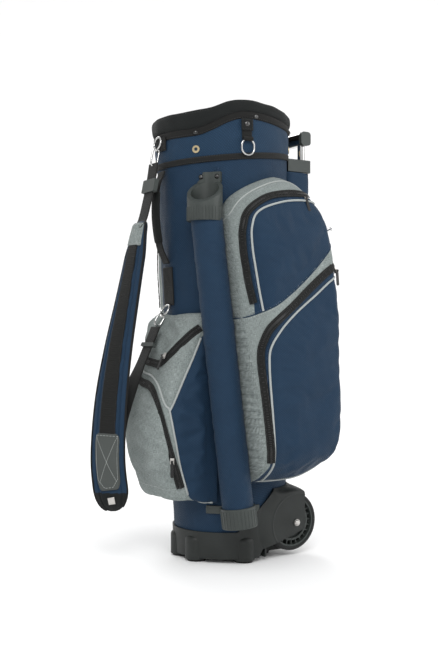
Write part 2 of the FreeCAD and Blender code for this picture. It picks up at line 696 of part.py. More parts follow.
def grab_handle():
    """Webbing handle on the front, bowed away from the body."""
    def front(z):
        cx, a, _ = section(z)
        return cx - a
    low, mid, high = 586.0, 671.0, 756.0
    points = [(front(high) - 4.4, high), (front(725) - 18, 725), (front(mid) - 23, mid),
              (front(617) - 18, 617), (front(low) - 4.4, low)]
    return ribbon(points, 4.0, 12.5)


# ---------------------------------------------------------------- shoulder strap
def strap_pad():
    """Padded strap that turns its face towards the near side on the way down."""
    wires = []
    for i, (x, z) in enumerate(PAD_LINE):
        before = PAD_LINE[max(i - 1, 0)]
        after = PAD_LINE[min(i + 1, len(PAD_LINE) - 1)]
        along = V(after[0] - before[0], 0, after[1] - before[1]).normalize()
        turn = FreeCAD.Rotation(along, -PAD_TWIST[i])
        side = turn.multVec(ALONG_Y) * PAD_HALF_W
        out = turn.multVec(along.cross(ALONG_Y)) * (PAD_T / 2)
        centre = V(x, 0, z)
        corners = [centre + side + out, centre - side + out, centre - side - out, centre + side - out]
        wires.append(Part.makePolygon(corners + [corners[0]]))
    return Part.makeLoft(wires, True, False)


def strap_anchors():
    upper = body_plate(180, 800, 826, 19, TOWEL_OUT + 0.3, TOWEL_OUT + 2.6)
    lower = body_plate(180, 500, 574, 19, 0.3, 2.6)
    return Part.makeCompound([upper, lower])


def strap_rings():
    rings = []
    for top, pull, _ in (UPPER_END, LOWER_END):
        rings.append(Part.makeTorus(RING_MAJOR, RING_WIRE, top + pull * RING_MAJOR, pull.cross(ALONG_Y)))
    return Part.makeCompound(rings)


def strap_hooks():
    """Hooks that hang through the lower side of each ring."""
    hooks = []
    for top, pull, straight in (UPPER_END, LOWER_END):
        crest = top + pull * (2 * RING_MAJOR - RING_WIRE - 0.3 - HOOK_WIRE)
        centre = crest + pull * (HOOK_R + straight / 2)
        hooks.append(link(centre, HOOK_WIRE, HOOK_R, straight, ALONG_Y, pull * -1))
    return Part.makeCompound(hooks)


def strap_slider(at, towards, length, thickness):
    along = V(towards[0] - at[0], 0, towards[1] - at[1]).normalize()
    frame = Part.makeBox(length, 2 * STRAP_HALF_W + 10, thickness,
                         V(-length / 2, -STRAP_HALF_W - 5, -thickness / 2))
    slot = Part.makeBox(length + 2, 2 * STRAP_HALF_W + 1, WEB_T + 0.8,
                        V(-length / 2 - 1, -STRAP_HALF_W - 0.5, -WEB_T / 2 - 0.4))
    slider = frame.makeFillet(2.5, [e for e in frame.Edges if e.BoundBox.ZLength > thickness - 0.1])
    slider = slider.cut(slot)
    turn = FreeCAD.Rotation(along, ALONG_Y, along.cross(ALONG_Y), "XYZ")
    slider.Placement = FreeCAD.Placement(V(at[0], 0, at[1]), turn)
    return slider


def strap_sliders():
    upper = strap_slider((-184.5, 730), (-188, 713), 26, 9)
    lower = strap_slider((-188, 422), (-205, 385), 8, 8)
    return Part.makeCompound([upper, lower])


# ---------------------------------------------------------------- pull handle
def poles(radius, bore, z0, z1):
    return both_sides(pipe(radius, bore, V(POLE_X, POLE_Y, z0), V(POLE_X, POLE_Y, z1)))


def pole_holes(radius, z0, z1):
    return both_sides(rod(radius, V(POLE_X, POLE_Y, z0), V(POLE_X, POLE_Y, z1)))


def handle_block(z0, z1, half, fillet):
    block = box(90, POLE_X + 14, -half, half, z0, z1)
    corners = [e for e in block.Edges if e.BoundBox.ZLength > z1 - z0 - 0.1 and e.BoundBox.XMin > POLE_X]
    return block.makeFillet(fillet, corners)


def handle_bracket():
    block = handle_block(BRACKET_LOW, BRACKET_TOP, GRIP_HALF, 6)
    body = oval_solid(700, 850, 0.3)
    band = oval_solid(700, 850, 0.4 + BAND)
    bores = [pole_holes(OUTER_R + 0.05, BRACKET_LOW - 1, BRACKET_TOP - 9),
             pole_holes(MID_R + SLIDE_GAP, BRACKET_LOW, BRACKET_TOP + 1)]
    return block.cut(body).cut(band).cut(bores[0]).cut(bores[1])


def handle_anchor():
    block = handle_block(ANCHOR_LOW, ANCHOR_TOP, 76, 6)
    return block.cut(oval_solid(100, 250, 0.4)).cut(pole_holes(OUTER_R + 0.05, ANCHOR_LOW + 4, 220))


def handle_sleeve():
    """Fabric channel around each outer pole."""
    block = handle_block(ANCHOR_TOP + 2, BRACKET_LOW - 1, POLE_Y + 17, 9).cut(box(80, 200, -39, 39, 0, 900))
    return block.cut(oval_solid(100, 800, 0.5)).cut(pole_holes(OUTER_R + 0.3, 100, 800))


def grip_bar(y0, y1, shrink):
    """Length of the hand grip with rounded edges."""
    bar = box(POLE_X - GRIP_DEPTH / 2 + shrink, POLE_X + GRIP_DEPTH / 2 - shrink, y0, y1,
              GRIP_LOW + shrink, GRIP_TOP - shrink)
    return bar.makeFillet(7, [e for e in bar.Edges if e.BoundBox.YLength > y1 - y0 - 0.1])


def button_space(grow):
    return box(POLE_X - 5 - grow, POLE_X + 5 + grow, -13 - grow, 13 + grow, GRIP_LOW + 6, GRIP_TOP + 9)


def handle_grip():
    bar = grip_bar(-GRIP_HALF + END_CAP, GRIP_HALF - END_CAP, 1.0)
    return bar.cut(button_space(0.3)).cut(pole_holes(INNER_R + 0.02, GRIP_LOW - 5, GRIP_LOW + 12))


def grip_caps():
    return both_sides(grip_bar(GRIP_HALF - END_CAP + 0.1, GRIP_HALF, 0.0))


def release_button():
    """Push button that stands proud of the top of the grip."""
    top = GRIP_TOP - 1 + BUTTON_TRAVEL + 0.7
    block = box(POLE_X - 5, POLE_X + 5, -13, 13, GRIP_TOP - 10, top)
    return block.makeFillet(1.5, [e for e in block.Edges if e.BoundBox.ZMin > top - 0.1])


def release_spring():
    low, high = GRIP_LOW + 6.2, GRIP_TOP - 10.2
    coil = Part.makeHelix(2.6, high - low - 1.4, 3.4)
    profile = Part.Wire([Part.Circle(V(3.4, 0, 0), ALONG_Y, 0.55).toShape()])
    spring = Part.Wire(coil).makePipeShell([profile], True, True)
    spring.translate(V(POLE_X, 0, low + 0.7))
    return spring


def write(name, shape):
    solids = shape.Solids
    result = solids[0] if len(solids) == 1 else Part.makeCompound(solids)
    result.exportStep("parts/" + name + ".step")


def main():
    os.makedirs("parts", exist_ok=True)
    pocket = side_pocket()
    near_pocket = mirror_y(pocket).cut(tube_clearance())
    towel_fabric = Part.makeCompound([towel_webbing(), towel_loop()])
    nodes = {
        "base_cup": base_cup(),
        "base_feet": base_feet(),
        "wheel_housing_far": wheel_housing(),
        "wheel_housing_near": mirror_y(wheel_housing()),
        "housing_screws": housing_screws(),
        "wheel_axle": wheel_axle(),
        "axle_nuts": axle_nuts(),
        "rim_far": wheel_rim(),
        "rim_near": mirror_y(wheel_rim()),
        "tyre_far": tyre(),
        "tyre_near": mirror_y(tyre()),
        "bush_far": wheel_bush(),
        "bush_near": mirror_y(wheel_bush()),
        "body_fabric": body_fabric(),
        "cuff_band": cuff_band(),
        "webbing_band": webbing_band(),
        "collar_binding": collar_binding(),
        "top_collar": top_collar(),
        "divider_ring": divider_ring(),
        "divider_bars": divider_bars(),
        "divider_panels": divider_panels(),
        "stay_rods": stay_rods(),
        "hood_snap_studs": hood_snap_studs(),
        "hood_snap_sockets": hood_snap_sockets(),
        "putter_tube": putter_tube(),
        "putter_ring": putter_ring(),
        "putter_cup": putter_cup(),
        "putter_bracket": putter_bracket(),
        "dome_rivets": dome_rivets(),
        "side_pocket_far": pocket,
        "side_pocket_near": near_pocket,
        "front_pocket": front_pocket(),
        "zip_sliders": Part.makeCompound([zip_slider(spec) for spec in ZIP_PULLS.values()]),
        "towel_tab": towel_tab(),
        "towel_webbing": towel_fabric,
        "towel_ring": towel_ring(),
        "grab_handle": grab_handle(),
        "strap_anchors": strap_anchors(),
        "strap_rings": strap_rings(),
        "strap_hooks": strap_hooks(),
        "strap_sliders": strap_sliders(),
        "strap_webbing_upper": ribbon(UPPER_WEB, WEB_T, STRAP_HALF_W),
        "strap_webbing_lower": ribbon(LOWER_WEB, WEB_T, STRAP_HALF_W),
        "strap_pad": strap_pad(),
        "handle_bracket": handle_bracket(),
        "handle_anchor": handle_anchor(),
        "handle_sleeve": handle_sleeve(),
        "handle_outer_tubes": poles(OUTER_R, MID_R + SLIDE_GAP, ANCHOR_LOW + 6, BRACKET_TOP - 9.5),
        "handle_mid_tubes": poles(MID_R, INNER_R + SLIDE_GAP, 215, BRACKET_TOP + 1.5),
        "handle_inner_tubes": poles(INNER_R, INNER_R - 1.2, 230, GRIP_LOW + 11.5),
        "handle_grip": handle_grip(),
        "grip_end_caps": grip_caps(),
        "release_button": release_button(),
        "release_spring": release_spring(),
    }
    for name, spec in ZIP_PULLS.items():
        nodes[name] = zip_tab(spec)
    for name, shape in nodes.items():
        write(name, shape)
        print(name, len(shape.Solids), round(shape.Volume / 1000, 2), shape.isValid())


main()
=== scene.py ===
"""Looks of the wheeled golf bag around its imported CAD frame.

Metres.  +Z up, +X to the pull handle, -Y to the putter tube, floor at z = 0.
"""
import json
import math

import bpy
import numpy as np
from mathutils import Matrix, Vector


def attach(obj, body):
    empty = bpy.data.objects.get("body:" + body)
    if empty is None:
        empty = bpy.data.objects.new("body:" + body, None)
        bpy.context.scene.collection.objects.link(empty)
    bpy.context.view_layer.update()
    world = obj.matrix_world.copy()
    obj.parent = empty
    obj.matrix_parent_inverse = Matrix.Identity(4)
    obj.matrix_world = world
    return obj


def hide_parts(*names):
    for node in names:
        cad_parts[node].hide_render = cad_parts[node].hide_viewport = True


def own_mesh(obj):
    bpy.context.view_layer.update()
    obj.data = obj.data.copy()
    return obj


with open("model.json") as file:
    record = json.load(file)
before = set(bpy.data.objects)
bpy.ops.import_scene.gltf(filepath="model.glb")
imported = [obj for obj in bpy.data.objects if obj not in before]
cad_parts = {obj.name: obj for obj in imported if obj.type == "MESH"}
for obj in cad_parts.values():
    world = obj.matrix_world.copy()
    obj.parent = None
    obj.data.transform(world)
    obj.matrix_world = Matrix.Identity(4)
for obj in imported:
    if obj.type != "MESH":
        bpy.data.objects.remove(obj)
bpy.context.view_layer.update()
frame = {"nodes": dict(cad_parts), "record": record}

# ---------------------------------------------------------------- shared sizes
BASE_Z, BODY_H = 0.060, 0.780                    # oval body: foot of its taper, and height of it
RIM_LINE = [(-.190, .862), (-.133, .869), (-.106, .875), (-.076, .887), (-.046, .892), (0, .890),
            (.067, .884), (.150, .880)]
SEAM_LINE = [(-.190, .832), (-.131, .834), (-.106, .843), (-.076, .860), (-.048, .868),
             (-.010, .868), (.060, .862), (.150, .857)]
BASE_EDGE = [(-.220, .060), (-.048, .060), (.034, .138), (.220, .138)]
WEB_FRONT, WEB_REAR, WEB_H = .772, .802, .012
BINDING_H = .013

POCKET_OUTLINE = [(-.098, .655), (-.072, .705), (-.015, .738), (.045, .749), (.100, .714),
                  (.130, .640), (.138, .540), (.139, .400), (.139, .250), (.119, .192),
                  (.066, .162), (.000, .154), (-.062, .158), (-.081, .190), (-.083, .300),
                  (-.083, .400), (-.084, .480), (-.093, .570), (-.098, .655)]
POCKET_DEPTH = [(.140, .146), (.178, .172), (.204, .220), (.211, .290), (.210, .400),
                (.202, .520), (.191, .620), (.173, .690), (.151, .735), (.124, .762)]
UPPER_ZIP = [(.078, .712), (.030, .712), (-.020, .702), (-.058, .679), (-.074, .650), (-.076, .608),
             (-.070, .548), (-.062, .500)]
UPPER_PIPING = [(.097, .697), (.055, .700), (.008, .694), (-.043, .676), (-.062, .650), (-.065, .610),
                (-.059, .548), (-.050, .486)]
DIAGONAL = [(-.083, .468), (-.060, .480), (-.008, .509), (.050, .553), (.105, .606), (.138, .652)]
LOWER_ZIP = [(.127, .582), (.110, .573), (.070, .545), (.016, .502), (-.034, .462), (-.050, .430),
             (-.054, .400), (-.051, .350), (-.044, .272), (-.036, .205)]
LOWER_PIPING = [(.133, .560), (.105, .548), (.064, .518), (.014, .482), (-.021, .450), (-.040, .418),
                (-.043, .380), (-.040, .310), (-.034, .240), (-.025, .166)]

FRONT_LINE = [(-.085, .484), (-.138, .481), (-.157, .452), (-.172, .420), (-.184, .390),
              (-.197, .348), (-.207, .290), (-.208, .230), (-.199, .180), (-.170, .130), (-.085, .118)]
FRONT_HALF, FRONT_BACK, FRONT_SQUARE = .092, -.088, 0.62
FRONT_UPPER_ZIP = [(-70, .456), (-54, .442), (-32, .414), (-12, .388), (8, .394), (30, .414)]
FRONT_LOWER_ZIP = [(34, .368), (8, .354), (-14, .332), (-35, .284), (-49, .211), (-53, .152)]
FRONT_UPPER_PIPING = [(-74, .436), (-66, .388), (-53, .325), (-46, .298)]
FRONT_LOWER_PIPING = [(20, .384), (-16, .350), (-38, .310), (-46, .298), (-55, .241), (-59, .188),
                      (-60, .138)]
FRONT_FOOT, FRONT_TOP = .1185, .4835
FRONT_ARC = .0022                                # metres along the front pocket's face in one degree
HEM_Z = .150

TUBE_TOP, TUBE_LOW, TUBE_R = (-.127, -.110, .690), (-.067, -.137, .092), .030
RING_LOW = .655
WHEEL_X, WHEEL_Z, FENDER_Y, FENDER_REAR = .082, .069, .1165, .103
FENDER_RING = .0605                              # the fender is full inside this radius round the wheel
POLE_X, POLE_Y = .138, .057
DIVIDER_X, DIVIDER_TOP = (-.082, -.038, .006, .050), .795

PAD_LINE = [(-.202, .662), (-.214, .605), (-.233, .510), (-.253, .410), (-.268, .310), (-.274, .210),
            (-.267, .140), (-.258, .106)]
PAD_HALF, PAD_THICK = .033, .010
PAD_TWIST = (0, 4, 12, 24, 38, 48, 52, 52)       # degrees, one for each point of the pad's line
PAD_TIP = .523                                   # run at which the pad's black tip starts
UPPER_WEB = [(-.1765, .775), (-.181, .747), (-.188, .713), (-.201, .664), (-.2135, .648), (-.2225, .622)]
UPPER_TWIST, UPPER_END = (0, 0, 0, 0, 0, 0), .646
LOWER_WEB = [(-.172, .457), (-.188, .422), (-.205, .385), (-.226, .340), (-.247, .292), (-.258, .250)]
LOWER_TWIST = (0, 0, 0, 14, 34, 42)
STRAP_HALF, STRAP_THICK = .0185, .0030

TOWEL_ANGLE = math.radians(-98.6)
ZIP_HALF = .0078
THREAD_R = .00045
SETTLE_FRAMES, SETTLE_PRESSURE, SETTLE_MOST = 14, 1.2, .006
VIEW_TURN = math.radians(-32)                    # the camera stands this far round from the near side
FORWARD = np.array([-1.0, 0, 0])


# ---------------------------------------------------------------- lines and meshes
def smooth_line(points, count):
    """Evenly spaced points on a smooth line through the given ones."""
    p = np.array(points, float)
    ends = np.vstack([2 * p[0] - p[1], p, 2 * p[-1] - p[-2]])
    t = np.linspace(0, 1, 24, endpoint=False)[:, None]
    runs = []
    for a, b, c, d in zip(ends, ends[1:], ends[2:], ends[3:]):
        bend = 2 * a - 5 * b + 4 * c - d
        runs.append(0.5 * (2 * b + (c - a) * t + bend * t ** 2 + (3 * b - a - 3 * c + d) * t ** 3))
    dense = np.vstack(runs + [ends[-2:-1]])
    return spread(dense, count)


def spread(line, count):
    """The same line with evenly spaced points."""
    run = lengths(line)
    return along_run(np.linspace(0, run[-1], count), run, line)


def along_run(want, run, rows):
    """Rows that belong to a run along a line, read at the wanted places on it."""
    return np.stack([np.interp(want, run, rows[:, k]) for k in range(rows.shape[1])], -1)


def lengths(line):
    """Run along a line at each of its points."""
    return np.r_[0, np.cumsum(np.linalg.norm(np.diff(line, axis=0), axis=1))]


def unit(v):
    return v / np.maximum(np.linalg.norm(v, axis=-1, keepdims=True), 1e-12)


def rounded(wave, power):
    """A sine or cosine made squarer; it keeps its sign."""
    return np.sign(wave) * np.abs(wave) ** power


def turns(count):
    """Angles evenly round a circle."""
    return np.linspace(0, 2 * math.pi, count, endpoint=False)


def waves(points, size, seed):
    """Smooth random relief between about -1 and 1, with folds of about the given size."""
    rng = np.random.default_rng(seed)
    total = np.zeros(points.shape[:-1])
    for _ in range(12):
        direction = unit(rng.normal(size=3))
        total += np.sin(points @ direction * (2 * math.pi / size * rng.uniform(0.6, 1.5))
                        + rng.uniform(0, 2 * math.pi))
    return total / 12 ** 0.5


def new_object(name, verts, faces, materials):
    """Smooth-shaded mesh object in the scene."""
    mesh = bpy.data.meshes.new(name)
    mesh.from_pydata(verts.tolist(), [], faces)
    for material in materials:
        mesh.materials.append(material)
    mesh.polygons.foreach_set("use_smooth", [True] * len(mesh.polygons))
    obj = bpy.data.objects.new(name, mesh)
    bpy.context.scene.collection.objects.link(obj)
    return obj


def quad_rows(rows, cols, across):
    """Corner numbers of the quads between rows of points, and each quad's row and column."""
    r, c = np.meshgrid(np.arange(rows - 1), np.arange(across), indexing="ij")
    a, b = r * cols + c, r * cols + (c + 1) % cols
    return np.stack([a, b, b + cols, a + cols], -1).reshape(-1, 4), r, c


def grid(name, points, material, wrap=False, flip=False, pick=None, others=()):
    """Sheet of quads from rows of points.  Its UV map is in metres, so a weave keeps its size."""
    rows, cols = points.shape[:2]
    quads, r, c = quad_rows(rows, cols, cols if wrap else cols - 1)
    closed = np.concatenate([points, points[:, :1]], 1) if wrap else points
    u = np.r_[0, np.cumsum(np.linalg.norm(np.diff(closed, axis=1), axis=2).mean(0))]
    v = np.r_[0, np.cumsum(np.linalg.norm(np.diff(closed, axis=0), axis=2).mean(1))]
    uv = np.stack([np.stack([u[c], v[r]], -1), np.stack([u[c + 1], v[r]], -1),
                   np.stack([u[c + 1], v[r + 1]], -1), np.stack([u[c], v[r + 1]], -1)], 2)
    uv = uv.reshape(-1, 4, 2)
    if flip:
        quads, uv = quads[:, ::-1], uv[:, ::-1]
    obj = new_object(name, points.reshape(-1, 3), quads.tolist(), [material, *others])
    layer = obj.data.uv_layers.new(name="cloth")
    layer.data.foreach_set("uv", uv.reshape(-1))
    if pick is not None:
        centres = points.reshape(-1, 3)[quads].mean(1)
        obj.data.polygons.foreach_set("material_index", pick(centres).astype(int))
    return obj


def capped(rings, line):
    """The rings closed at both ends by a ring shrunk to the end of the line."""
    first, last = line[:1, None] + 0 * rings[:1], line[-1:, None] + 0 * rings[-1:]
    return np.concatenate([first, rings, last])


def tube(name, line, radius, material, out, sides=10, squash=1.0):
    """Round or flattened cord along a line, closed at its ends."""
    along = unit(np.gradient(line, axis=0))
    side = unit(np.cross(along, out))
    up = np.cross(side, along)
    turn = turns(sides)
    r = np.broadcast_to(radius, len(line))[:, None, None]
    rings = line[:, None] + r * (np.cos(turn)[None, :, None] * side[:, None]
                                 + squash * np.sin(turn)[None, :, None] * up[:, None])
    return grid(name, capped(rings, line), material, wrap=True)


def strip(name, line, out, half, thick, material):
    """Flat woven strip along a line, with round edges.  Its back lies on the line."""
    along = unit(np.gradient(line, axis=0))
    side = unit(np.cross(along, out))
    out = unit(np.cross(side, along))
    turn = turns(28)
    across = half * rounded(np.cos(turn), 0.35)
    up = thick * (0.5 + 0.5 * rounded(np.sin(turn), 0.6))
    rings = line[:, None] + across[:, None] * side[:, None] + up[:, None] * out[:, None]
    return grid(name, capped(rings, line + out * thick / 2), material, wrap=True)


def capsules(name, starts, ends, out, radius, material):
    """Many short rounded rods in one mesh: stitches and zip teeth."""
    along = unit(ends - starts)
    side = unit(np.cross(along, out))
    up = np.cross(side, along)
    stations = [(0.0, 0.0), (0.06, 0.7), (0.25, 1.0), (0.75, 1.0), (0.94, 0.7), (1.0, 0.0)]
    verts = []
    for share, size in stations:
        centre = starts + (ends - starts) * share
        for angle in turns(6):
            ring = math.cos(angle) * side + 0.7 * math.sin(angle) * up
            verts.append(centre + radius * size * ring)
    verts = np.stack(verts, 1)
    count, each = verts.shape[:2]
    quads, _, _ = quad_rows(len(stations), 6, 6)
    faces = (quads[None] + (np.arange(count) * each)[:, None, None]).reshape(-1, 4)
    return new_object(name, verts.reshape(-1, 3), faces.tolist(), [material])


def stitch_row(name, line, out, thread, body="bag", pitch=.0042):
    """Row of thread stitches along a line on a surface."""
    count = max(3, int(lengths(line)[-1] / pitch))
    both = spread(np.concatenate([line, out], 1), 2 * count)
    out = unit(both[:, 3:])
    raised = both[:, :3] + out * .0001
    starts, ends = raised[:-1:2], raised[1::2]
    middle, reach = (starts + ends) / 2, (ends - starts) / 2 * 1.35
    place(capsules(name, middle - reach, middle + reach, out[:-1:2], THREAD_R, thread), body)


def softened(line, times=14):
    """The line with its small shakes averaged out; its ends stay put."""
    for _ in range(times):
        line = np.vstack([line[:1], (line[:-2] + 2 * line[1:-1] + line[2:]) / 4, line[-1:]])
    return line


def between(table, j, i):
    """A table of vectors read at fractional rows j and columns i."""
    j, i = np.clip(j, 0, table.shape[0] - 1.001), np.clip(i, 0, table.shape[1] - 1.001)
    j0, i0 = j.astype(int), i.astype(int)
    fj, fi = (j - j0)[..., None], (i - i0)[..., None]
    low = table[j0, i0] * (1 - fi) + table[j0, i0 + 1] * fi
    high = table[j0 + 1, i0] * (1 - fi) + table[j0 + 1, i0 + 1] * fi
    return low * (1 - fj) + high * fj


def grid_normals(points):
    """Unit normals of a regular table of points."""
    return unit(np.cross(np.gradient(points, axis=1), np.gradient(points, axis=0)))


class Sheet:
    """Curved surface known on a regular grid of two parameters and read between its points."""

    def __init__(self, u, v, points, outward):
        self.u, self.v, self.points = u, v, points
        normals = grid_normals(points)
        self.normals = -normals if (normals * outward).sum(-1).mean() < 0 else normals

    def read(self, table, line):
        i = (line[:, 0] - self.u[0]) / (self.u[1] - self.u[0])
        return between(table, (line[:, 1] - self.v[0]) / (self.v[1] - self.v[0]), i)

    def at(self, line, lift=0.0):
        """Smooth line of points on the surface, and the directions out of it."""
        normal = unit(softened(self.read(self.normals, line), 60))
        return softened(self.read(self.points, line)) + normal * lift, normal


# ---------------------------------------------------------------- materials
def new_material(name, rough, metal=0.0):
    made = bpy.data.materials.new(name)
    made.use_nodes = True
    shader = made.node_tree.nodes["Principled BSDF"]
    shader.inputs["Roughness"].default_value = rough
    shader.inputs["Metallic"].default_value = metal
    return made, shader


def add(made, kind, inputs, **settings):
    """A shader node with its settings and its inputs, each a value or another node's output."""
    node = made.node_tree.nodes.new(kind)
    for key, value in settings.items():
        setattr(node, key, value)
    for key, value in inputs.items():
        if isinstance(value, bpy.types.NodeSocket):
            made.node_tree.links.new(value, node.inputs[key])
        else:
            node.inputs[key].default_value = value
    return node


def join(made, output, entry):
    made.node_tree.links.new(output, entry)


def ramp(made, factor, dark, light, low=0.0, high=1.0):
    node = add(made, "ShaderNodeValToRGB", {"Fac": factor})
    node.color_ramp.elements[0].position = low
    node.color_ramp.elements[0].color = (*dark, 1)
    node.color_ramp.elements[1].position = high
    node.color_ramp.elements[1].color = (*light, 1)
    return node.outputs["Color"]


def maths(made, kind, a, b=0.5):
    return add(made, "ShaderNodeMath", {0: a, 1: b}, operation=kind).outputs[0]


def cloth(name, dark, light, thread=.0009, turn=0.0, rough=0.85, heather=0.0, dots=0.0, relief=.00035,
          sheen=0.05):
    """Woven cloth: crossing threads, uneven dye, and a raised dot pattern when dots is its pitch."""
    made, shader = new_material(name, rough)
    coords = add(made, "ShaderNodeTexCoord", {}).outputs["UV"]
    turned = add(made, "ShaderNodeMapping", {"Vector": coords, "Rotation": (0, 0, turn)}).outputs[0]
    scale = 0.314 / thread
    warp = add(made, "ShaderNodeTexWave", {"Vector": turned, "Scale": scale}, bands_direction="X")
    weft = add(made, "ShaderNodeTexWave", {"Vector": turned, "Scale": scale}, bands_direction="Y")
    weave = maths(made, "MULTIPLY", warp.outputs["Fac"], weft.outputs["Fac"])
    cloud = add(made, "ShaderNodeTexNoise", {"Vector": coords, "Scale": 26.0, "Detail": 4.0})
    tone = maths(made, "MULTIPLY_ADD", cloud.outputs["Fac"], 0.55)
    height = weave
    shade = maths(made, "ADD", maths(made, "MULTIPLY", weave, 0.25), maths(made, "MULTIPLY", tone, 0.5))
    if heather:
        for squeeze in ((140, 1500, 1), (1500, 140, 1)):
            drawn = add(made, "ShaderNodeMapping", {"Vector": coords, "Scale": squeeze}).outputs[0]
            fleck = add(made, "ShaderNodeTexNoise", {"Vector": drawn, "Scale": 1.0, "Detail": 3.0})
            flecks = maths(made, "MULTIPLY", maths(made, "SUBTRACT", fleck.outputs["Fac"], 0.5), heather)
            shade = maths(made, "ADD", shade, flecks)
    if dots:
        row = 0.314 / dots
        lines = [add(made, "ShaderNodeTexWave", {"Vector": turned, "Scale": row, "Distortion": 0.4},
                     bands_direction=way).outputs["Fac"] for way in ("X", "Y")]
        dot = maths(made, "POWER", maths(made, "MULTIPLY", lines[0], lines[1]), 1.6)
        shade = maths(made, "ADD", shade, maths(made, "MULTIPLY", dot, 0.55))
        height = maths(made, "ADD", weave, maths(made, "MULTIPLY", dot, 1.4))
    join(made, ramp(made, shade, dark, light, 0.1, 0.95), shader.inputs["Base Color"])
    bump = add(made, "ShaderNodeBump", {"Height": height, "Distance": relief, "Strength": 0.7})
    join(made, bump.outputs[0], shader.inputs["Normal"])
    shader.inputs["Sheen Weight"].default_value = sheen
    shader.inputs["Sheen Roughness"].default_value = 0.5
    shader.inputs["Specular IOR Level"].default_value = 0.18
    return made


def solid(name, dark, light, rough, metal=0.0, grain=900.0, depth=.00008, soften=.0006, wear=0.15):
    """Plastic, rubber or metal: fine surface grain, uneven shine and slightly rounded edges."""
    made, shader = new_material(name, rough, metal)
    shader.inputs["Specular IOR Level"].default_value = 0.32
    coords = add(made, "ShaderNodeTexCoord", {}).outputs["Object"]
    fine = add(made, "ShaderNodeTexNoise", {"Vector": coords, "Scale": grain, "Detail": 2.0})
    large = add(made, "ShaderNodeTexNoise", {"Vector": coords, "Scale": 18.0, "Detail": 5.0})
    join(made, ramp(made, large.outputs["Fac"], dark, light, 0.3, 0.7), shader.inputs["Base Color"])
    shine = maths(made, "MULTIPLY_ADD", large.outputs["Fac"], wear)
    shine.node.inputs[2].default_value = rough - wear / 2
    join(made, shine, shader.inputs["Roughness"])
    edge = add(made, "ShaderNodeBevel", {"Radius": soften}, samples=3)
    bump = add(made, "ShaderNodeBump", {"Height": fine.outputs["Fac"], "Distance": depth, "Strength": 0.6,
                                        "Normal": edge.outputs[0]})
    join(made, bump.outputs[0], shader.inputs["Normal"])
    return made


NAVY = cloth("navy cloth", (.003, .012, .029), (.011, .038, .078), thread=.0011, turn=.78, dots=.0032,
             rough=0.62, sheen=0.04)
NAVY_DOBBY = cloth("navy dobby", (.002, .010, .025), (.014, .046, .092), thread=.0011, turn=.78,
                   dots=.0036, rough=0.66)
GREY = cloth("grey heather", (.09, .11, .107), (.36, .40, .39), thread=.0011, heather=1.1, rough=0.9)
PADDING = cloth("black padding", (.004, .005, .005), (.016, .018, .018), thread=.0014, relief=.0005)
WEBBING = cloth("black webbing", (.003, .003, .003), (.018, .019, .018), thread=.0017, relief=.0006,
                rough=0.72)
BINDING = cloth("black binding", (.004, .004, .004), (.018, .018, .017), thread=.0015, turn=.5)
NYLON = cloth("divider nylon", (.012, .012, .013), (.040, .041, .045), thread=.0008, rough=0.6)
PIPING = cloth("light piping", (.26, .28, .275), (.46, .49, .48), thread=.0009, rough=0.75)
GREY_PATCH = cloth("grey patch", (.035, .040, .038), (.10, .11, .105), thread=.0012, rough=0.7)
THREAD_GREY = solid("grey thread", (.30, .32, .31), (.42, .44, .43), 0.8, soften=0)
THREAD_BLUE = solid("blue thread", (.03, .05, .10), (.05, .08, .15), 0.8, soften=0)
THREAD_BLACK = solid("black thread", (.02, .02, .02), (.04, .04, .04), 0.8, soften=0)
TEETH = solid("zip teeth", (.008, .008, .008), (.02, .02, .02), 0.35, soften=0)
SLOTS = {
    "navy_fabric": NAVY,
    "navy_dobby": NAVY_DOBBY,
    "grey_heather": GREY,
    "black_padding": PADDING,
    "black_webbing": WEBBING,
    "black_binding": BINDING,
    "divider_fabric": NYLON,
    "base_plastic": solid("base plastic", (.010, .012, .011), (.018, .021, .020), 0.5, grain=1400),
    "grey_plastic": solid("grey plastic", (.028, .034, .032), (.044, .052, .049), 0.45),
    "black_plastic": solid("black plastic", (.006, .006, .006), (.014, .014, .014), 0.35),
    "chrome_steel": solid("chrome", (.42, .42, .42), (.58, .58, .57), 0.14, metal=1.0, depth=.00001,
                          soften=.0004, wear=0.08),
    "black_steel": solid("black nickel", (.05, .05, .05), (.10, .10, .10), 0.25, metal=1.0, depth=.00001),
    "zinc_metal": solid("zinc", (.42, .41, .39), (.62, .60, .57), 0.32, metal=1.0, depth=.00003),
    "brass": solid("antique brass", (.42, .34, .20), (.60, .50, .32), 0.3, metal=1.0, depth=.00002),
    "tube_aluminium": solid("aluminium", (.55, .55, .56), (.70, .70, .71), 0.28, metal=1.0, depth=.00002),
    "tyre_rubber": solid("tyre rubber", (.008, .009, .009), (.017, .018, .018), 0.72, depth=.0002),
    "foot_rubber": solid("foot rubber", (.010, .010, .010), (.022, .022, .022), 0.8, depth=.0002),
    "spring_steel": solid("spring steel", (.40, .40, .41), (.55, .55, .56), 0.3, metal=1.0),
}


def dress_cad_nodes():
    """Give every CAD node the look of its finish."""
    for part in frame["record"]["subparts"]:
        for entry in frame["nodes"][part["node"]].material_slots:
            entry.material = SLOTS[part["material_slot"]]


def place(obj, body="bag", instead_of=()):
    """Say which body a piece rides on, and hide the CAD nodes it stands for."""
    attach(obj, body)
    if instead_of:
        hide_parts(*instead_of)
    return obj


# ---------------------------------------------------------------- oval body
def section(z):
    """Middle and half axes of the oval body at a height."""
    t = (z - BASE_Z) / BODY_H
    return -0.020 * t, 0.116 + 0.022 * t, 0.108 + 0.014 * t


def half_width(x, z):
    centre, a, b = section(z)
    return b * np.sqrt(np.clip(1 - ((x - centre) / a) ** 2, 0, 1))


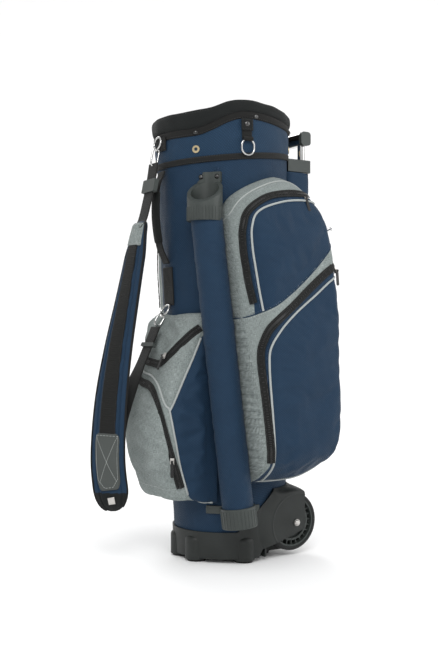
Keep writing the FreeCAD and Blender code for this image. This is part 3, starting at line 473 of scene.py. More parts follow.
def body_point(angle, z, out=0.0):
    """Points on the oval body, or out from it, and the directions out of it."""
    angle, z = np.broadcast_arrays(angle, z)
    centre, a, b = section(z)
    c, s = np.cos(angle), np.sin(angle)
    normal = unit(np.stack([c / a, s / b, 0 * z], -1))
    base = np.stack([centre + a * c, b * s, z], -1)
    return base + normal * np.broadcast_to(out, z.shape)[..., None], normal


def height_on(line, angle):
    """Height at which a line given along X crosses the body at each angle."""
    line = smooth_line(line, 200) if len(line) > 4 else np.array(line)
    z = np.full(np.shape(angle), 0.6)
    for _ in range(8):
        centre, a, _ = section(z)
        z = np.interp(centre + a * np.cos(angle), line[:, 0], line[:, 1])
    return z


def web_height(angle):
    return WEB_FRONT + (WEB_REAR - WEB_FRONT) * (1 + np.cos(angle)) / 2


def around(count):
    return np.linspace(-math.pi, math.pi, count, endpoint=False)


def wrap_band(name, low, high, profile, material, slack=None):
    """Band round the body between two heights; profile gives (share of the height, offset)."""
    angle = around(len(low))
    share, out = np.array(profile).T[..., None]
    points, _ = body_point(angle, low + (high - low) * share, out)
    if slack is not None:
        points = slack(points)
    return grid(name, points, material, wrap=True)


def lined(outer, inner):
    """Rows of an outer surface and of the one behind it, closed into one loop."""
    return np.concatenate([outer, inner[::-1], outer[:1]])


def body_cloth():
    """Main fabric tube: soft vertical slack and shallow crumples, tucked into the base and collar."""
    angle = around(320)
    high = height_on(SEAM_LINE, angle) + .002
    low = height_on(BASE_EDGE, angle) - .0085
    foot, _ = body_point(angle, low)
    beside_wheels = (foot[:, 0] > .034) & (np.abs(foot[:, 1]) > .064)
    low = np.where(beside_wheels, np.maximum(low, .1384), low)
    share = np.linspace(0, 1, 130)[:, None]
    z = low + (high - low) * share
    flat, normal = body_point(angle, z)
    free = np.sin(math.pi * np.clip(share * 1.02, 0, 1)) ** 0.5
    relief = .0011 * waves(flat * [1, 1, 0.25], .075, 3) + .0005 * waves(flat, .035, 4)
    outer = flat + normal * (relief * free - .0003)[..., None]
    loop = lined(outer, flat - normal * .0020)
    place(grid("body_cloth", loop, NAVY, wrap=True), instead_of=["body_fabric"])
    for k, angle in enumerate((-125.6, 125.6)):
        z = np.linspace(.10, .76, 160)
        line, out = body_point(math.radians(angle), z, .0012)
        place(tube("body_seam_%d" % k, line, .0011, NAVY, squash=0.6, out=out))
        line, out = body_point(math.radians(angle + 2.6), z, .0010)
        stitch_row("body_seam_stitches_%d" % k, line, out, THREAD_BLUE)


def cuff():
    angle = around(320)
    low = web_height(angle) + WEB_H / 2 - .002
    high = height_on(SEAM_LINE, angle) - BINDING_H + .001
    share = np.linspace(0, 1, 26)
    profile = [(s, .0008 + .0016 * math.sin(math.pi * s) ** 0.5) for s in share]

    def slack(points):
        return points + unit(points * [1, 1, 0]) * (.0006 * waves(points, .05, 8))[..., None]

    place(wrap_band("cuff_cloth", low, high, profile, NAVY_DOBBY, slack),
          instead_of=["cuff_band"])


def edged(thick, crown):
    """Profile of a flat strip with rolled edges."""
    return [(0, 0), (0.01, thick * 0.6), (0.06, thick), (0.3, thick + crown), (0.5, thick + crown),
            (0.7, thick + crown), (0.94, thick), (0.99, thick * 0.6), (1, 0)]


def bands():
    """Webbing band, binding under the collar, and their stitches."""
    angle = around(320)
    middle = web_height(angle)
    place(wrap_band("webbing_strip", middle - WEB_H / 2, middle + WEB_H / 2, edged(.0027, .0003), WEBBING),
          instead_of=["webbing_band"])
    seam = height_on(SEAM_LINE, angle)
    place(wrap_band("binding_strip", seam - BINDING_H, seam + .001, edged(.0028, .0008), BINDING),
          instead_of=["collar_binding"])
    for name, z, lift in (("low", middle - .0042, .0029), ("high", middle + .0042, .0029),
                          ("binding", seam - .0105, .0032)):
        line, out = body_point(np.r_[angle, angle[:1]], np.r_[z, z[:1]], lift)
        stitch_row("band_stitches_" + name, line, out, THREAD_BLACK, pitch=.0045)


def collar():
    """Padded rim: full and rounded, softly dented, with a seam round its outside."""
    angle = around(360)
    seam, rim = height_on(SEAM_LINE, angle), height_on(RIM_LINE, angle)
    turn = turns(44)[:, None]
    tall = rounded(np.sin(turn), 0.72)
    z = (seam + rim) / 2 + (rim - seam) / 2 * 1.02 * tall
    groove = np.exp(-((turn - 0.75) / 0.10) ** 2)
    out = -.0042 + .0102 * rounded(np.cos(turn), 0.62) - .0012 * groove
    points, normal = body_point(angle, z, out)
    points = points + normal * (.0007 * waves(points, .045, 11))[..., None]
    points[..., 2] += .0009 * waves(points, .06, 12) * (tall > 0)
    loop = np.concatenate([points, points[:1]])
    made = place(grid("collar_padding", loop, PADDING, wrap=True),
                 instead_of=["top_collar"])
    line, out = (np.r_[rows[5], rows[5][:1]] for rows in (points, normal))
    stitch_row("collar_stitches", line, out, THREAD_BLACK, pitch=.005)


def dividers():
    """Nylon walls between the rows of clubs, hanging a little slack."""
    for k, x in enumerate(DIVIDER_X):
        low = .145 if x > .014 else .018
        z = np.linspace(low, DIVIDER_TOP, 60)[:, None]
        reach = half_width(x, z) * 0.985 - .011
        y = reach * np.linspace(-1, 1, 40)[None]
        flat = np.stack([np.full(y.shape, x), y, np.broadcast_to(z, y.shape)], -1)
        slack = np.sin(math.pi * (z - low) / (DIVIDER_TOP - low))
        flat[..., 0] += slack * .0016 * waves(flat, .16, 20 + k)
        both = np.concatenate([flat, flat[:, ::-1] - [.0014, 0, 0]], 1)
        place(grid("divider_wall_%d" % k, both, NYLON, wrap=True))
    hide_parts("divider_panels")


# ---------------------------------------------------------------- cloth simulation
def eased(heights):
    """A table of heights with its finest ripples taken out."""
    soft = np.pad(heights, 1, mode="edge")
    across = (soft[:, :-2] + 2 * soft[:, 1:-1] + soft[:, 2:]) / 4
    return (across[:-2] + 2 * across[1:-1] + across[2:]) / 4


def hang(sheet, held, loose):
    """Give a sheet a cloth modifier: cut loose by a share, blown out gently, pinned by held."""
    pins = np.round(held.ravel(), 1)
    group = sheet.vertex_groups.new(name="held")
    for level in np.unique(pins):
        group.add(np.flatnonzero(pins == level).tolist(), float(level), "REPLACE")
    made = sheet.modifiers.new("settle", "CLOTH")
    made.collision_settings.use_self_collision = False
    made.point_cache.frame_end = SETTLE_FRAMES
    made.settings.effector_weights.gravity = 0.0
    for key, value in {"quality": 6, "mass": 0.25, "tension_stiffness": 12.0, "compression_stiffness": 12.0,
                       "shear_stiffness": 6.0, "bending_stiffness": 0.35, "vertex_group_mass": "held",
                       "shrink_min": -loose, "shrink_max": -loose, "use_pressure": True,
                       "uniform_pressure_force": SETTLE_PRESSURE}.items():
        setattr(made.settings, key, value)


def settled(points, held, loose=0.02):
    """Table of points moved along its normals as sewn fabric fills out; held points stay put."""
    coarse = points[::2, ::2]
    sheet = grid("settling", coarse, NAVY)
    hang(sheet, held[::2, ::2], loose)
    for step in range(1, SETTLE_FRAMES + 1):
        bpy.context.scene.frame_set(step)
    made = sheet.evaluated_get(bpy.context.evaluated_depsgraph_get())
    moved = np.empty(coarse.size, np.float32)
    made.data.vertices.foreach_get("co", moved)
    bpy.data.objects.remove(sheet)
    bpy.context.scene.frame_set(1)
    shift = ((moved.reshape(coarse.shape) - coarse) * grid_normals(coarse)).sum(-1)
    shift = eased(np.clip(shift, -SETTLE_MOST, SETTLE_MOST))[..., None]
    j = np.linspace(0, len(shift) - 1.001, points.shape[0])[:, None]
    i = np.linspace(0, shift.shape[1] - 1.001, points.shape[1])[None]
    return points + between(shift, j, i) * (grid_normals(points) * (1 - held)[..., None])


# ---------------------------------------------------------------- pockets
def near_line(x, z, lines):
    """Distance to the nearest of some lines, and the run along it there."""
    best, run = np.full(x.shape, 9.0), np.zeros(x.shape)
    for line in lines:
        for start, end, done in zip(line, line[1:], lengths(line)):
            step = end - start
            t = np.clip(((x - start[0]) * step[0] + (z - start[1]) * step[1]) / (step @ step), 0, 1)
            gap = np.hypot(x - start[0] - t * step[0], z - start[1] - t * step[1])
            run = np.where(gap < best, done + t * np.hypot(*step), run)
            best = np.minimum(best, gap)
    return best, run


def inside(x, z, outline):
    """True where a point is inside a closed outline."""
    hit = np.zeros(x.shape, bool)
    for (x0, z0), (x1, z1) in zip(outline, outline[1:]):
        cross = (z0 > z) != (z1 > z)
        hit ^= cross & (x < (x1 - x0) * (z - z0) / (z1 - z0 + 1e-12) + x0)
    return hit


POCKET_EDGE = smooth_line(POCKET_OUTLINE, 240)
POCKET_SEAMS = [smooth_line(line, 70) for line in (UPPER_PIPING, LOWER_PIPING, UPPER_ZIP, DIAGONAL,
                                                   LOWER_ZIP)]


def tube_axis(z):
    """Where the middle of the putter tube is at a height."""
    t = (z - TUBE_LOW[2]) / (TUBE_TOP[2] - TUBE_LOW[2])
    return TUBE_LOW[0] + (TUBE_TOP[0] - TUBE_LOW[0]) * t, TUBE_LOW[1] + (TUBE_TOP[1] - TUBE_LOW[1]) * t


def clear_of(x, y, middle_x, middle_y, radius):
    """Keeps the near side of the bag clear of something round; y is measured outward."""
    reach = radius ** 2 - (x - middle_x) ** 2
    limit = -middle_y - np.sqrt(np.clip(reach, 0, None))
    return np.where(reach > 0, np.minimum(y, limit), y)


def behind_tube(x, y, z, radius):
    """Keeps the near side of the bag clear of the putter tube."""
    return clear_of(x, y, *tube_axis(z), radius)


def pocket_back(x, z):
    """How far out the back of a side pocket lies."""
    return np.maximum(half_width(x, z) - .001, np.where(x > .060, .0795, 0.0))


def pocket_front(x, z, seed, near):
    """Outer face of a side pocket: full between its seams, drawn in and puckered along them."""
    depth = smooth_line([(d[1], d[0]) for d in POCKET_DEPTH], 200)
    back = pocket_back(x, z)
    edge, _ = near_line(x, z, [POCKET_EDGE])
    round_off = np.interp(x, [-.09, .03], [.085, .034])
    fill = (1 - (1 - np.clip(edge / round_off, 0, 1)) ** 2.1) ** (1 / 2.1)
    seam, _ = near_line(x, z, POCKET_SEAMS)
    corded, run = near_line(x, z, POCKET_SEAMS[:2])
    flat = np.stack([x, 0 * x, z], -1)
    puff = .0042 * (1 - np.exp(-seam / .020))
    pucker = np.sin(2 * math.pi * run / .024 + 4 * waves(flat, .11, seed))
    pucker = .0006 * pucker * np.exp(-corded / .020) * (1 - np.exp(-(corded / .004) ** 2))
    folds = .0021 * waves(flat * [1, 1, 0.6], .11, seed + 1) + .0008 * waves(flat, .045, seed + 2)
    y = back + (np.interp(z, depth[:, 0], depth[:, 1]) - back) * fill
    y = y + (puff + pucker + folds * (1 - 0.7 * np.exp(-seam / .012))) * fill
    if near:
        y = behind_tube(x, y, z, .0313)
        y = np.where(z > RING_LOW - .010, clear_of(x, y, *TUBE_TOP[:2], .0365), y)
    return np.maximum(y, back)


def pocket_held(x, z, y, near):
    """1 where a side pocket's fabric is sewn down or hidden, 0 in the middle of a panel."""
    edge, _ = near_line(x, z, [POCKET_EDGE])
    seam, _ = near_line(x, z, POCKET_SEAMS)
    free = inside(x, z, POCKET_EDGE) & (edge > .012)
    if near:
        free &= behind_tube(x, y + .006, z, .037) >= y + .006
    return np.where(free, np.clip((.024 - seam) / .014, 0, 1), 1.0)


def pocket_colour(points):
    """0 where a side pocket is grey, 1 where it is navy."""
    x, z = points[:, 0], points[:, 2]
    upper = np.vstack([UPPER_ZIP, DIAGONAL[1:], [(.170, .700), (.150, .720), (.098, .704)], UPPER_ZIP[:1]])
    lower = np.vstack([LOWER_ZIP, [(-.043, .130), (.200, .130), (.200, .600)], LOWER_ZIP[:1]])
    return inside(x, z, upper) | inside(x, z, lower)


def zipper(name, sheet, line):
    """Black zip: two tapes with stitched edges and a row of teeth between them."""
    points, out = sheet.at(smooth_line(line, 320), .0018)
    points = spread(points, len(points))
    place(strip(name + "_tape", points, out, ZIP_HALF, .0011, WEBBING))
    count = int(lengths(points)[-1] / .0021)
    both = spread(np.concatenate([points, out], 1), count)
    middle, normal = both[:, :3], unit(both[:, 3:])
    side = unit(np.cross(np.gradient(middle, axis=0), normal))
    raised = middle + normal * .0016
    place(capsules(name + "_teeth", raised - side * .0024, raised + side * .0024, normal, .00082, TEETH))
    for k in (-1, 1):
        edge = middle + side * (k * ZIP_HALF * 0.72) + normal * .0012
        stitch_row("%s_stitches_%d" % (name, k + 1), edge, normal, THREAD_BLACK)


def piping(name, sheet, line, radius=.0021, material=PIPING):
    """Corded edge that stands on a seam."""
    points, out = sheet.at(smooth_line(line, 320), radius * 0.45)
    place(tube(name, points, radius, material, out=out))


def seam(name, sheet, line, thread, shift):
    """Stitches beside a line on a surface, shifted sideways from it."""
    points, out = sheet.at(smooth_line(line, 300), .0002)
    side = unit(np.cross(np.gradient(points, axis=0), out))
    stitch_row(name, points + side * shift, out, thread)


def edge_span(z):
    """Left and right limits of a side pocket at a height."""
    x0, z0 = POCKET_EDGE[:-1, 0], POCKET_EDGE[:-1, 1]
    x1, z1 = POCKET_EDGE[1:, 0], POCKET_EDGE[1:, 1]
    cross = (z0 > z) != (z1 > z)
    x = x0[cross] + (x1[cross] - x0[cross]) * (z - z0[cross]) / (z1[cross] - z0[cross])
    return x.min(), x.max()


def side_pocket(name, node, sign, seed):
    """Side pocket with its panels, zips, piping and stitched seams."""
    xs, zs = np.linspace(-.112, .150, 176), np.linspace(.140, .765, 418)
    gx, gz = np.meshgrid(xs, zs)
    y = pocket_front(gx, gz, seed, near=sign < 0)
    points = settled(np.stack([gx, sign * y, gz], -1), pocket_held(gx, gz, y, sign < 0))
    sheet = Sheet(xs, zs, points, np.array([0.0, sign, 0.0]))

    low, high = POCKET_EDGE[:, 1].min() + .0004, POCKET_EDGE[:, 1].max() - .0004
    rows = low + (high - low) * (0.5 - 0.5 * np.cos(np.linspace(0, math.pi, 330)))
    ease = 0.5 - 0.5 * np.cos(np.linspace(0, math.pi, 130))
    spans = np.array([edge_span(z) for z in rows])
    x = spans[:, :1] + (spans[:, 1:] - spans[:, :1]) * ease
    z = np.broadcast_to(rows[:, None], x.shape)
    face = sheet.read(sheet.points, np.stack([x.ravel(), z.ravel()], 1)).reshape(*x.shape, 3)
    rear = np.stack([x, sign * (pocket_back(x, z) - .0005), z], -1)
    shell = np.concatenate([face, rear[:, ::-1]], 1)
    made = grid(name, shell, GREY, wrap=True, flip=sign > 0, pick=pocket_colour, others=[NAVY])
    place(made, instead_of=[node])
    for end, line in (("_upper_zip", UPPER_ZIP), ("_lower_zip", LOWER_ZIP)):
        zipper(name + end, sheet, line)
    for end, line in (("_upper_piping", UPPER_PIPING), ("_lower_piping", LOWER_PIPING)):
        piping(name + end, sheet, line)
    piping(name + "_panel_edge", sheet, DIAGONAL, radius=.0011, material=NAVY)
    rim = POCKET_EDGE + (np.array([.02, .45]) - POCKET_EDGE) * .035
    piping(name + "_edge_piping", sheet, rim, radius=.0016)
    for k, (line, thread, shift) in enumerate((
            (DIAGONAL, THREAD_GREY, .003), (DIAGONAL, THREAD_BLUE, -.003), (UPPER_PIPING, THREAD_BLUE, .005),
            (LOWER_PIPING, THREAD_BLUE, .005), (rim, THREAD_GREY, .006))):
        seam("%s_seam_%d" % (name, k), sheet, line, thread, shift * -sign)


def front_reach(z):
    """How far forward the front pocket comes at a height."""
    line = smooth_line(FRONT_LINE, 300)[::-1]
    return np.interp(z, line[:, 1], line[:, 0])


def front_surface(angle, z):
    """Face of the front pocket; angle runs from the near side (-90) to the far side (90)."""
    turn = np.radians(angle)
    x = FRONT_BACK + (front_reach(z) - FRONT_BACK) * np.abs(np.cos(turn)) ** FRONT_SQUARE
    y = FRONT_HALF * rounded(np.sin(turn), FRONT_SQUARE)
    return np.stack([x, y, z], -1)


def front_lines():
    """Seams of the front pocket as lines in angle and height, scaled to be near lengths."""
    lines = (FRONT_LOWER_PIPING, FRONT_UPPER_PIPING, FRONT_UPPER_ZIP, FRONT_LOWER_ZIP)
    return [smooth_line([(a * FRONT_ARC, z) for a, z in line], 70) for line in lines]


def front_colour(points):
    """0 where the front pocket is grey, 1 where it is navy: its side panels."""
    x, y, z = points.T
    reach = front_reach(z) - FRONT_BACK
    turn = np.degrees(np.arctan2(np.abs(y / FRONT_HALF) ** (1 / FRONT_SQUARE),
                                 np.abs((x - FRONT_BACK) / reach) ** (1 / FRONT_SQUARE)))
    edge = np.array([(-90, .470)] + FRONT_UPPER_PIPING + FRONT_LOWER_PIPING[4:] + [(-60, .100), (-90, .100),
                    (-90, .470)])
    return inside(-turn, z, edge)


def front_pocket():
    """Front pocket: grey panels with deep soft folds, navy sides, two zips and piping."""
    angles, zs = np.linspace(-90, 90, 240), np.linspace(FRONT_FOOT, FRONT_TOP, 260)
    ga, gz = np.meshgrid(angles, zs)
    base = front_surface(ga, gz)
    lines = front_lines()
    seam_gap, _ = near_line(ga * FRONT_ARC, gz, lines)
    corded, run = near_line(ga * FRONT_ARC, gz, lines[:1])
    hem = np.abs(gz - HEM_Z)
    sides = np.clip((90 - np.abs(ga)) / 25, 0, 1) ** 0.5 * np.clip((FRONT_TOP - gz) / .02, 0, 1)
    folds = .0042 * waves(base * [1, 1.3, 0.45], .085, 41) + .0015 * waves(base, .035, 42)
    relief = (.0050 * (1 - np.exp(-seam_gap / .018)) * (1 - 0.25 * np.exp(-hem / .010)) + folds * 0.75
              * (1 - 0.7 * np.exp(-seam_gap / .010)))
    pucker = .0005 * np.sin(2 * math.pi * run / .022 + 4 * waves(base, .11, 43))
    pucker = pucker * np.exp(-corded / .018) * (1 - np.exp(-(corded / .004) ** 2))
    points = base + Sheet(angles, zs, base, FORWARD).normals * ((relief + pucker - .0035) * sides)[..., None]
    held = np.where(sides < 0.45, 1.0, np.clip((.024 - np.minimum(seam_gap, hem)) / .014, 0, 1))
    points = settled(points, held, loose=0.03)
    near = points[..., 1] < 0
    cleared = -behind_tube(points[..., 0], -points[..., 1], points[..., 2], .0318)
    points[..., 1] = np.where(near, cleared, points[..., 1])
    sheet = Sheet(angles, zs, points, FORWARD)

    def closing(row, z):
        centre = np.stack([np.full(len(row), -.095), row[:, 1] * 0.6, np.full(len(row), z)], -1)
        return np.stack([row + (centre - row) * t for t in np.linspace(1, 0, 10)[:-1]])

    shell = np.concatenate([closing(points[0], .1195), points, closing(points[-1], .4830)[::-1]])
    made = grid("front_cloth", shell, GREY, flip=True, pick=front_colour, others=[NAVY])
    place(made, instead_of=["front_pocket"])
    zipper("front_upper_zip", sheet, FRONT_UPPER_ZIP)
    zipper("front_lower_zip", sheet, FRONT_LOWER_ZIP)
    piping("front_lower_piping", sheet, FRONT_LOWER_PIPING)
    piping("front_upper_piping", sheet, FRONT_UPPER_PIPING)
    far_piping = [(-a, z) for a, z in FRONT_UPPER_PIPING + FRONT_LOWER_PIPING[4:]]
    piping("front_far_piping", sheet, far_piping)
    piping("front_hem_piping", sheet, [(a, .1215) for a in range(-84, 85, 12)], radius=.0016)
    for k, (line, shift) in enumerate((
            (FRONT_LOWER_PIPING[3:], .005), ([(a, HEM_Z) for a in range(-56, 57, 8)], 0.0),
            ([(a, .474) for a in range(-80, 81, 10)], 0.0))):
        seam("front_seam_%d" % k, sheet, line, THREAD_GREY, shift)


# ---------------------------------------------------------------- putter tube
def putter_sleeve():
    """Fabric-covered putter tube with a side seam and soft ring creases."""
    z = np.linspace(.0905, .6690, 150)
    centre = np.stack([*tube_axis(z), z], -1)
    along = unit(np.array(TUBE_TOP) - np.array(TUBE_LOW))
    side = unit(np.cross(along, [1.0, 0, 0]))
    other = np.cross(side, along)
    turn = turns(72)
    spoke = np.cos(turn)[:, None] * side + np.sin(turn)[:, None] * other
    flat = centre[:, None] + TUBE_R * spoke[None]
    relief = .00045 * waves(flat * [1, 1, 1.6], .05, 50) + .0003 * waves(flat * [1, 1, 3], .03, 51)
    outer = centre[:, None] + spoke[None] * (TUBE_R + relief)[..., None]
    loop = lined(outer, centre[:, None] + spoke[None] * (TUBE_R - .0016))
    place(grid("putter_sleeve", loop, NAVY, wrap=True), instead_of=["putter_tube"])
    toward = unit(np.cos(0.9) * side + np.sin(0.9) * other)
    line = centre + toward * (TUBE_R + .0004)
    place(tube("putter_seam", line[4:-6], .0010, NAVY, squash=0.6, out=np.tile(toward, (140, 1))))


# ---------------------------------------------------------------- towel tab, grab handle, anchors
def body_strip(name, angle, z0, z1, half, lift, thick, material, instead_of=()):
    """Upright strip that lies on the body at an angle, between two heights."""
    line, out = body_point(angle, np.linspace(z0, z1, 40), lift)
    place(strip(name, line, out, half, thick, material), "bag", instead_of)


def straight_runs(corners):
    """Points along the straight runs between corners."""
    corners = np.array(corners, float)
    t = np.linspace(0, 1, 20)[:, None]
    return np.vstack([start + (end - start) * t for start, end in zip(corners, corners[1:])])


def stitched_box(name, angle, z0, z1, half, lift, cross=True):
    """Box of stitches, with a cross in it, on a strip that lies on the body."""
    rows = [[(-half, z0), (half, z0), (half, z1), (-half, z1), (-half, z0)]]
    if cross:
        rows += [[(-half, z0), (half, z1)], [(half, z0), (-half, z1)]]
    for k, corners in enumerate(rows):
        run = straight_runs(corners)
        line, out = body_point(angle, run[:, 1], lift)
        side = unit(np.cross([0, 0, 1.0], out))
        stitch_row("%s_%d" % (name, k), line + side * run[:, :1], out, THREAD_BLACK, pitch=.0036)


def towel_tab():
    """Padded tab and webbing under the collar; the webbing's end rolls round the towel ring."""
    body_strip("towel_leather", TOWEL_ANGLE, .8325, .8555, .0125, .0046, .0020, PADDING,
               ["towel_tab"])
    body_strip("towel_strap", TOWEL_ANGLE, .8165, .8545, .0105, .0026, .0018, WEBBING,
               ["towel_webbing"])
    centre, out = body_point(TOWEL_ANGLE, np.array([.8165]), .0068)
    turn = np.linspace(-0.5 * math.pi, 0.75 * math.pi, 24)[:, None]
    roll = centre + .0034 * (np.cos(turn) * out - np.sin(turn) * np.array([0, 0, 1.0]))
    place(strip("towel_loop", roll, unit(roll - centre), .0102, .0009, WEBBING))
    stitched_box("towel_stitches", TOWEL_ANGLE, .8352, .8530, .0102, .0067, cross=False)


def upright(flat):
    """Line given by its x and z as points in the middle plane, and the directions to the front."""
    line = np.stack([flat[:, 0], 0 * flat[:, 0], flat[:, 1]], -1)
    out = np.cross(unit(np.gradient(line, axis=0)), [0.0, 1, 0])
    return line, np.where(out[:, :1] > 0, -out, out)


def grab_handle():
    """Webbing grip on the front, padded in the middle, sewn to the body at both ends."""
    points = []
    for z, gap in ((.760, .0026), (.752, .006), (.725, .0165), (.671, .0215), (.617, .0165), (.590, .006),
                   (.582, .0026)):
        centre, a, _ = section(z)
        points.append((centre - a - gap, z))
    line, out = upright(smooth_line(points, 110))
    place(strip("grab_webbing", line, out, .0125, .0030, WEBBING), "grab_handle",
          ["grab_handle"])
    middle = slice(26, 84)
    share = np.linspace(0, 1, 110)[middle]
    grip = np.clip(1 - (np.abs(share - 0.5) / 0.30) ** 8, 0, 1) ** 0.5
    size = .0138 * np.maximum(grip, 0.15) ** 0.3
    pad = tube("grab_pad", line[middle] + out[middle] * .0015, size, PADDING, sides=20, squash=0.40,
               out=out[middle])
    place(pad, "grab_handle")


def anchors():
    """Webbing on the front that holds the strap's two rings, sewn down with crossed boxes."""
    body_strip("upper_anchor", math.pi, .800, .8262, .019, .0026, .0026, WEBBING,
               ["strap_anchors"])
    body_strip("lower_anchor", math.pi, .500, .574, .019, .0006, .0024, WEBBING)
    stitched_box("upper_anchor_stitches", math.pi, .8030, .8160, .0155, .0054)
    stitched_box("lower_anchor_stitches", math.pi, .5360, .5700, .0155, .0032)


# ---------------------------------------------------------------- shoulder strap
def strap_frame(count, line, twist):
    """Middle line of a strap, its sideways and outward directions, and the run along it."""
    flat = smooth_line([(x, z, turn / 1000) for (x, z), turn in zip(line, twist)], count)
    middle, out = upright(flat)
    turn = np.radians(flat[:, 2:] * 1000)
    level = np.array([[0.0, 1, 0]])
    return (middle, np.cos(turn) * level + np.sin(turn) * out, np.cos(turn) * out - np.sin(turn) * level,
            lengths(middle))


PAD_MIDDLE, PAD_ACROSS, PAD_OUT, PAD_RUN = strap_frame(300, PAD_LINE, PAD_TWIST)
PAD_LONG = PAD_RUN[-1]


def pad_half(run):
    """Half width of the pad: waisted at the top end and rounded at the tip."""
    top = np.clip(run / .075, 0, 1)
    tip = np.clip((PAD_LONG - run) / .050, 0, 1)
    taper = .62 + .38 * (3 * top ** 2 - 2 * top ** 3)
    start = (1 - (1 - np.clip(run / .006, 0, 1)) ** 2) ** 0.5
    return np.maximum(PAD_HALF * taper * (1 - (1 - tip) ** 2.2) ** 0.5 * start, .0002)


def pad_height(run, across):
    """Height of the pad's face over its middle sheet, with two quilted channels."""
    share = np.clip(np.abs(across), 0, 1)
    ends = np.clip(np.minimum(run / .012, (PAD_LONG - run) / .018), 0, 1) ** 0.5
    puff = (1 - share ** 2.8) ** 0.5
    channel = .0026 * np.exp(-((share - .64) / .05) ** 2)
    return ends * (PAD_THICK * puff - channel)


def pad_face(run, w, lift=0.0):
    """Points on the pad's face at a run and a sideways distance w, and the directions out of it."""
    centre, out, side = (along_run(run, PAD_RUN, rows) for rows in (PAD_MIDDLE, PAD_OUT, PAD_ACROSS))
    out = unit(out)
    height = pad_height(run, w / np.interp(run, PAD_RUN, pad_half(PAD_RUN))) + lift
    return centre + out * height[..., None] + w[..., None] * unit(side), out


def pad_backing(points):
    """1 on the inner half and the lower tip, which are black mesh."""
    nearest = 6 * np.abs(points[:, None, 2] - PAD_MIDDLE[None, ::6, 2]).argmin(1)
    lift = ((points - PAD_MIDDLE[nearest]) * PAD_OUT[nearest]).sum(1)
    return (lift < -.0012) | (PAD_RUN[nearest] > PAD_TIP)


def pad_patch(name, s0, s1, w0, w1, material, lift, ribs=0.0, rows=40, corner=0.0):
    """Patch on the pad's face from run s0 to s1; its half width goes from w0 to w1."""
    s = np.linspace(s0, s1, rows)[:, None]
    w = np.linspace(-1, 1, 21)[None]
    margin = np.minimum(s - s0, s1 - s)
    end = np.clip(margin / max(corner, 1e-6), 0, 1)
    width = w0 + (w1 - w0) * (s - s0) / (s1 - s0) - corner * 0.5 * (1 - (1 - (1 - end) ** 2) ** 0.5)
    rim = np.clip((1 - np.abs(w)) / .06, 0, 1) * np.clip(margin / .0006, 0, 1)
    rise = lift * rim ** 0.5 + ribs * np.cos(2 * math.pi * s / .0042) * rim - .0008 * (1 - rim)
    points, _ = pad_face(np.broadcast_to(s, (rows, 21)), w * width, rise)
    place(grid(name, points, material, flip=True), "shoulder_strap")


def pad_sewn(name, corners, lift, thread):
    """Straight rows of stitches on the pad's face between corners given as run and sideways distance."""
    line, out = pad_face(*straight_runs(corners).T, lift)
    stitch_row(name, line, out, thread, body="shoulder_strap", pitch=.0034)


def strap_pad():
    """Padded strap: navy face over black mesh backing."""
    across = np.sin(np.linspace(-math.pi / 2, math.pi / 2, 64))
    face = pad_height(PAD_RUN[:, None], across[None])
    flat = PAD_MIDDLE[:, None] + (pad_half(PAD_RUN)[:, None] * across[None])[..., None] * PAD_ACROSS[:, None]
    relief = .0005 * waves(flat, .04, 60) + .0004 * waves(flat * [1, 0.3, 1.5], .022, 61)
    upper = flat + PAD_OUT[:, None] * (face + relief * (face > .002) - .0010)[..., None]
    lower = flat - PAD_OUT[:, None] * (face * 0.82 + .0004)[..., None]
    shell = np.concatenate([upper, lower[:, ::-1]], 1)
    made = grid("pad_cloth", shell, NAVY, wrap=True, pick=pad_backing, others=[PADDING])
    place(made, "shoulder_strap", ["strap_pad"])


def pad_trim():
    """Ribbed webbing along the pad, its patches, stitches and bound edges, and a blank badge."""
    pad_patch("pad_webbing", .018, .520, .0155, .0165, WEBBING, .0013, ribs=.0004, rows=560)
    pad_patch("pad_upper_patch", .006, .052, .0185, .0235, GREY, .0026, corner=.004)
    pad_patch("pad_lower_patch", .412, .520, .0245, .0215, GREY_PATCH, .0026, rows=60, corner=.018)
    for name, lift, corners in (
            ("patch_triangle", .0028, [(.050, -.019), (.020, 0), (.050, .019), (.050, -.019)]),
            ("patch_border", .0028, [(.010, -.016), (.048, -.020), (.048, .020), (.010, .016),
                                     (.010, -.016)]),
            ("lower_border", .0029, [(.417, -.021), (.417, .021), (.498, .019), (.514, .008), (.514, -.008),
                                     (.498, -.019), (.417, -.021)]),
            ("lower_cross_a", .0029, [(.417, -.021), (.503, .016)]),
            ("lower_cross_b", .0029, [(.417, .021), (.503, -.016)])):
        pad_sewn(name, corners, lift, THREAD_GREY)
    for k, w in enumerate((-.0148, .0148)):
        pad_sewn("webbing_edge_%d" % k, [(.056, w), (.412, w)], .0016, THREAD_BLACK)
    for k in (-1, 1):
        run = np.linspace(.004, PAD_LONG - .006, 200)
        line, out = pad_face(run, k * np.interp(run, PAD_RUN, pad_half(PAD_RUN)) * .985)
        place(tube("pad_edge_%d" % (k + 1), line, .0019, BINDING, out), "shoulder_strap")
    badge, out = pad_face(np.array([.533, .546]), np.zeros(2), .0002)
    place(strip("pad_badge", spread(badge, 8), np.repeat(out[:1], 8, 0), .0065, .0014, SLOTS["zinc_metal"]),
          "shoulder_strap")


def strap_webbing():
    """Webbing above and below the pad; the upper one ends under the pad's grey patch."""
    for name, points, twist, end, node in (
            ("upper_webbing", UPPER_WEB, UPPER_TWIST, UPPER_END, "strap_webbing_upper"),
            ("lower_webbing", LOWER_WEB, LOWER_TWIST, 0.0, "strap_webbing_lower")):
        middle, _, out, _ = strap_frame(150, points, twist)
        kept = middle[:, 2] > end
        line = (middle - out * STRAP_THICK / 2)[kept]
        place(strip(name, line, out[kept], STRAP_HALF, STRAP_THICK, WEBBING),
              "shoulder_strap", [node])


